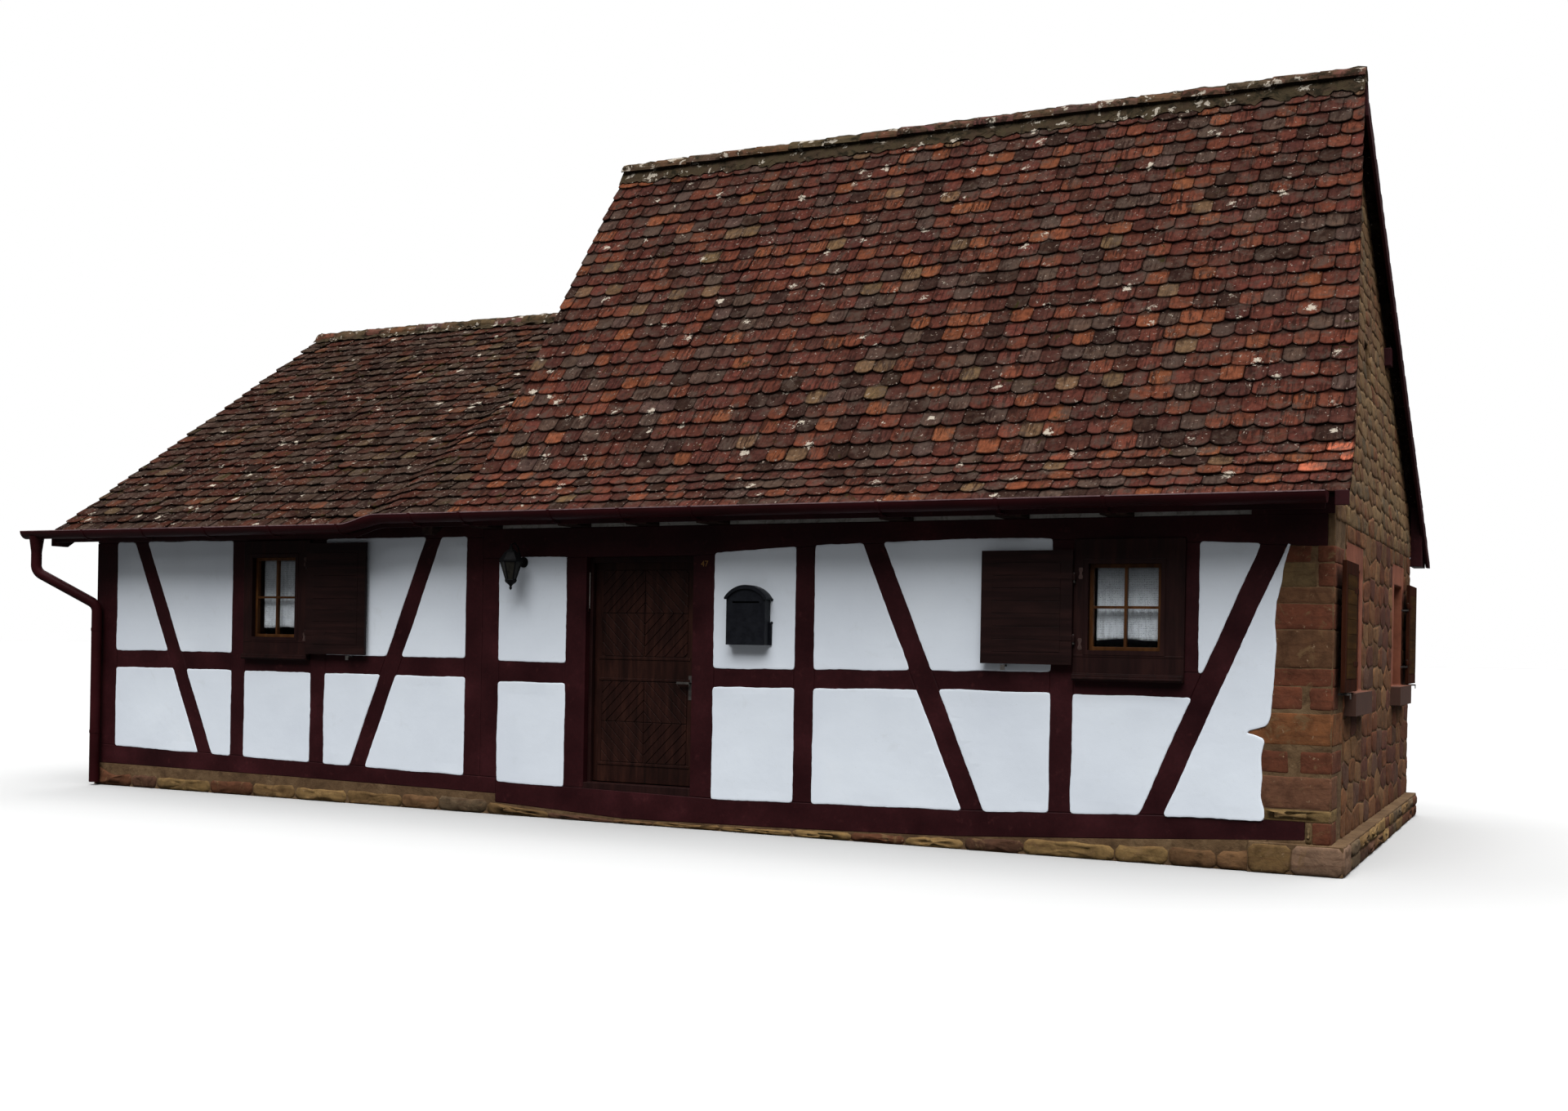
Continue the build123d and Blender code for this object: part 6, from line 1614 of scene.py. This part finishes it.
def hang_lace(name, x0, x1, z0, z1, seed):
    """A gathered sheet of lace with soft folds and a slightly uneven hem."""
    across, down = 96, 24
    chance = random.Random(seed)
    phase = chance.uniform(0, 6)
    shape = Shape()
    points = []
    for side in (-0.5, 0.5):
        for j in range(down + 1):
            for i in range(across + 1):
                share, fall = i / across, j / down
                fold = math.sin(2 * math.pi * CURTAIN_FOLDS * share + phase + 0.5 * math.sin(3 * fall + seed))
                depth = CURTAIN_WAVE * (0.55 + 0.45 * fall) * fold
                hem = 0.006 * math.sin(7 * share + seed) * fall
                points.append((x0 + (x1 - x0) * share, CURTAIN_Y + depth + side * LACE,
                               z1 - (z1 - z0) * fall + hem))
    row, layer = across + 1, (across + 1) * (down + 1)
    faces = []
    for j in range(down):
        for i in range(across):
            k = j * row + i
            faces.append((k, k + 1, k + row + 1, k + row))
            faces.append((k + layer, k + layer + row, k + layer + row + 1, k + layer + 1))
    border = [(i, i + 1) for i in range(across)]
    border += [(down * row + i + 1, down * row + i) for i in range(across)]
    border += [(j * row + across, (j + 1) * row + across) for j in range(down)]
    border += [((j + 1) * row, j * row) for j in range(down)]
    faces += [(b, a, a + layer, b + layer) for a, b in border]
    shape.add(points, faces)
    piece = shape.make(name, "lace", "lace", smooth=True)
    line = np.array(points[:row])[:, :2]
    low_line = np.array(points[down * row:layer])[:, :2]
    width = sum(np.hypot(*np.diff(edge, axis=0).T).sum() for edge in (line, low_line)) / 2
    return piece, float(width), z1 - z0


def curtain_rod(name, x0, x1, z):
    """A thin wooden rod across a window."""
    bpy.ops.mesh.primitive_cylinder_add(vertices=20, radius=CURTAIN_ROD_RADIUS, depth=x1 - x0)
    rail = bpy.context.object
    rail.name = name
    rail.rotation_euler = (0, math.pi / 2, 0)
    rail.location = ((x0 + x1) / 2 + corner_x, CURTAIN_Y + face_y, z)
    rail.data.materials.append(finishes["ochre_wood"])
    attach(rail, "house")
    return rail


lace_bottom = drawn_box("curtains")[0].z - 0.02
sash_low, sash_high = drawn_box("front_sashes")
windows = (("left", sash_low.x, sash_high.z), ("right", sash_high.x - WINDOW_WIDTH, RIGHT_SASH_TOP))
made_lace = []
for name, x0, top in windows:
    rail_z = top - CURTAIN_ROD_DROP
    rail = curtain_rod(name + "_curtain_rod", x0, x0 + WINDOW_WIDTH, rail_z)
    piece, width, fall = hang_lace(name + "_lace_curtain", x0 + LACE_LEFT, x0 + WINDOW_WIDTH - LACE_RIGHT,
                                   lace_bottom, rail_z, len(name))
    made_lace.append(piece)
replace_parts(made_lace[0], "curtains")


# House number and thermometer beside the door

NUMBER_PLACE = (-4.925, 2.150)
NUMBER_SIZE = 0.068
NUMBER_PROUD = 0.0010
BOARD_SPAN_Y, BOARD_SPAN_Z = (0.034, 0.058), (1.770, 2.130)
TUBE_SPAN_Y, TUBE_SPAN_Z = (0.0435, 0.0485), (1.800, 2.110)


def house_number():
    """Brass figures on the right door post."""
    text = bpy.data.curves.new("number", "FONT")
    text.body = "47"
    text.size = NUMBER_SIZE
    text.extrude = 0.0015
    text.align_x = "CENTER"
    drawn = put_in_scene("number_outline", text)
    bpy.context.view_layer.update()
    mesh = bpy.data.meshes.new_from_object(drawn)
    bpy.data.objects.remove(drawn)
    number = put_in_scene("house_number", mesh)
    number.rotation_euler = (math.pi / 2, 0, 0)
    number.location = (NUMBER_PLACE[0] + corner_x, face_y - NUMBER_PROUD, NUMBER_PLACE[1])
    mesh.materials.clear()
    mesh.materials.append(finishes["brass"])
    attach(number, "house")


def thermometer():
    """A slim glass thermometer on the reveal left of the door."""
    x = drawn_box("door_frame")[0].x
    board, tube = Shape(), Shape()
    (y0, y1), (z0, z1) = BOARD_SPAN_Y, BOARD_SPAN_Z
    block(board, (x, y0, z0), (x + 0.005, y1, z1))
    soften(board.make("thermometer_board", "brown_wood", "brown_wood"), 0.0015)
    (y0, y1), (z0, z1) = TUBE_SPAN_Y, TUBE_SPAN_Z
    block(tube, (x + 0.004, y0, z0), (x + 0.008, y1, z1))
    soften(tube.make("thermometer_tube", "milk_glass", "grey_iron"), 0.0015)


house_number()
thermometer()


# Stage, light and camera

# Name, strength and direction of each lamp
LAMPS = [("front_light", 4.2, 10), ("right_light", 2.2, 82), ("left_light", 1.5, -95),
         ("rear_light", 2.6, 180)]
LAMP_HEIGHT = 58
LAMP_SPREAD = 48
FLOOR_SEEN = 0.36
FLOOR_BOUNCE = 0.08
FLOOR_SIZE = 400
FLOOR_DROP = 0.001
SKY_RISE = (0.10, 0.70)
SKY_STRENGTH = (0.01, 0.27)


def stage_floor():
    """A pale floor that throws back no more light than paving does."""
    bpy.ops.mesh.primitive_plane_add(size=FLOOR_SIZE, location=(0, 0, -FLOOR_DROP))
    floor = bpy.context.object
    floor.name = "studio_floor"
    material = bpy.data.materials.new("studio_floor")
    material.use_nodes = True
    nodes, links = material.node_tree.nodes, material.node_tree.links
    rays = nodes.new("ShaderNodeLightPath")
    span = nodes.new("ShaderNodeMapRange")
    span.inputs["To Min"].default_value = FLOOR_BOUNCE
    span.inputs["To Max"].default_value = FLOOR_SEEN
    links.new(rays.outputs["Is Camera Ray"], span.inputs["Value"])
    links.new(span.outputs["Result"], nodes["Principled BSDF"].inputs["Base Color"])
    nodes["Principled BSDF"].inputs["Roughness"].default_value = 0.9
    nodes["Principled BSDF"].inputs["Specular IOR Level"].default_value = 0.0
    floor.data.materials.append(material)


def light_up():
    """An overcast sky that is dim near the ground, with broad soft lights on all sides."""
    world = bpy.data.worlds.new("studio")
    bpy.context.scene.world = world
    world.use_nodes = True
    nodes, links = world.node_tree.nodes, world.node_tree.links
    sky = nodes["Background"]
    sky.inputs["Color"].default_value = (1, 1, 1, 1)
    place = nodes.new("ShaderNodeTexCoord")
    parts = nodes.new("ShaderNodeSeparateXYZ")
    links.new(place.outputs["Generated"], parts.inputs["Vector"])
    height = nodes.new("ShaderNodeMapRange")
    for name, value in zip(("From Min", "From Max", "To Min", "To Max"), SKY_RISE + SKY_STRENGTH):
        height.inputs[name].default_value = value
    links.new(parts.outputs["Z"], height.inputs["Value"])
    rays = nodes.new("ShaderNodeLightPath")
    seen = nodes.new("ShaderNodeMath")
    seen.operation = "MAXIMUM"
    links.new(rays.outputs["Is Camera Ray"], seen.inputs[0])
    links.new(rays.outputs["Is Transmission Ray"], seen.inputs[1])
    span = nodes.new("ShaderNodeMapRange")
    span.inputs["To Max"].default_value = 1.0
    links.new(height.outputs["Result"], span.inputs["To Min"])
    links.new(seen.outputs["Value"], span.inputs["Value"])
    links.new(span.outputs["Result"], sky.inputs["Strength"])
    for name, energy, turn in LAMPS:
        lamp = bpy.data.lights.new(name, "SUN")
        lamp.energy = energy
        lamp.angle = math.radians(LAMP_SPREAD)
        sun = put_in_scene(name, lamp)
        sun.rotation_euler = (math.radians(90 - LAMP_HEIGHT), 0, math.radians(turn))
    bpy.context.scene.view_settings.view_transform = "Standard"


def make_camera():
    """A camera that looks level along its yaw, with a little roll and shift."""
    yaw, roll = math.radians(CAMERA_YAW), math.radians(CAMERA_ROLL)
    ahead = Vector((-math.sin(yaw), math.cos(yaw), 0))
    right = Vector((math.cos(yaw), math.sin(yaw), 0))
    up = Vector((0, 0, 1))
    side = right * math.cos(roll) + up * math.sin(roll)
    top = up * math.cos(roll) - right * math.sin(roll)
    lens = bpy.data.cameras.new("camera")
    lens.lens = CAMERA_LENS
    lens.sensor_width = 36
    lens.shift_y = CAMERA_SHIFT_Y
    lens.clip_end = 600
    camera = put_in_scene("camera", lens)
    turn = Matrix((side, top, -ahead)).transposed().to_4x4()
    place = Vector((CAMERA_X + corner_x, CAMERA_Y + face_y, CAMERA_HEIGHT))
    camera.matrix_world = Matrix.Translation(place) @ turn
    bpy.context.scene.camera = camera


stage_floor()
light_up()
make_camera()


# Finishes of the nodes that stay as they are

# The plaster between the joists under the eave is grey, as painted shade
NODE_FINISH = {"gable_wall": "mortar", "eave_infill": "shaded_plaster", "plinth": "mortar",
               "gable_window_surrounds": "surround", "front_door": "door_wood",
               "left_shutter": "shutter_wood", "right_shutter": "shutter_wood",
               "front_gable_shutter": "umber_frame", "rear_gable_shutter": "umber_frame"}
EDGE_WIDTH = {"red_timber": 0.007, "old_timber": 0.006, "brown_wood": 0.003, "ochre_wood": 0.0025,
              "sandstone": 0.010, "black_metal": 0.0015, "grey_iron": 0.001}
SLOT_FINISH = {"sandstone": "mortar", "roof_tiles": "main_tiles", "ridge_tiles": "ridge"}
for name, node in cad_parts.items():
    slot_name = node.data.materials[0].name
    finish = NODE_FINISH.get(name) or SLOT_FINISH.get(slot_name, slot_name)
    node.data.materials[0] = finishes[finish]
    if slot_name in EDGE_WIDTH:
        soften(node, EDGE_WIDTH[slot_name])
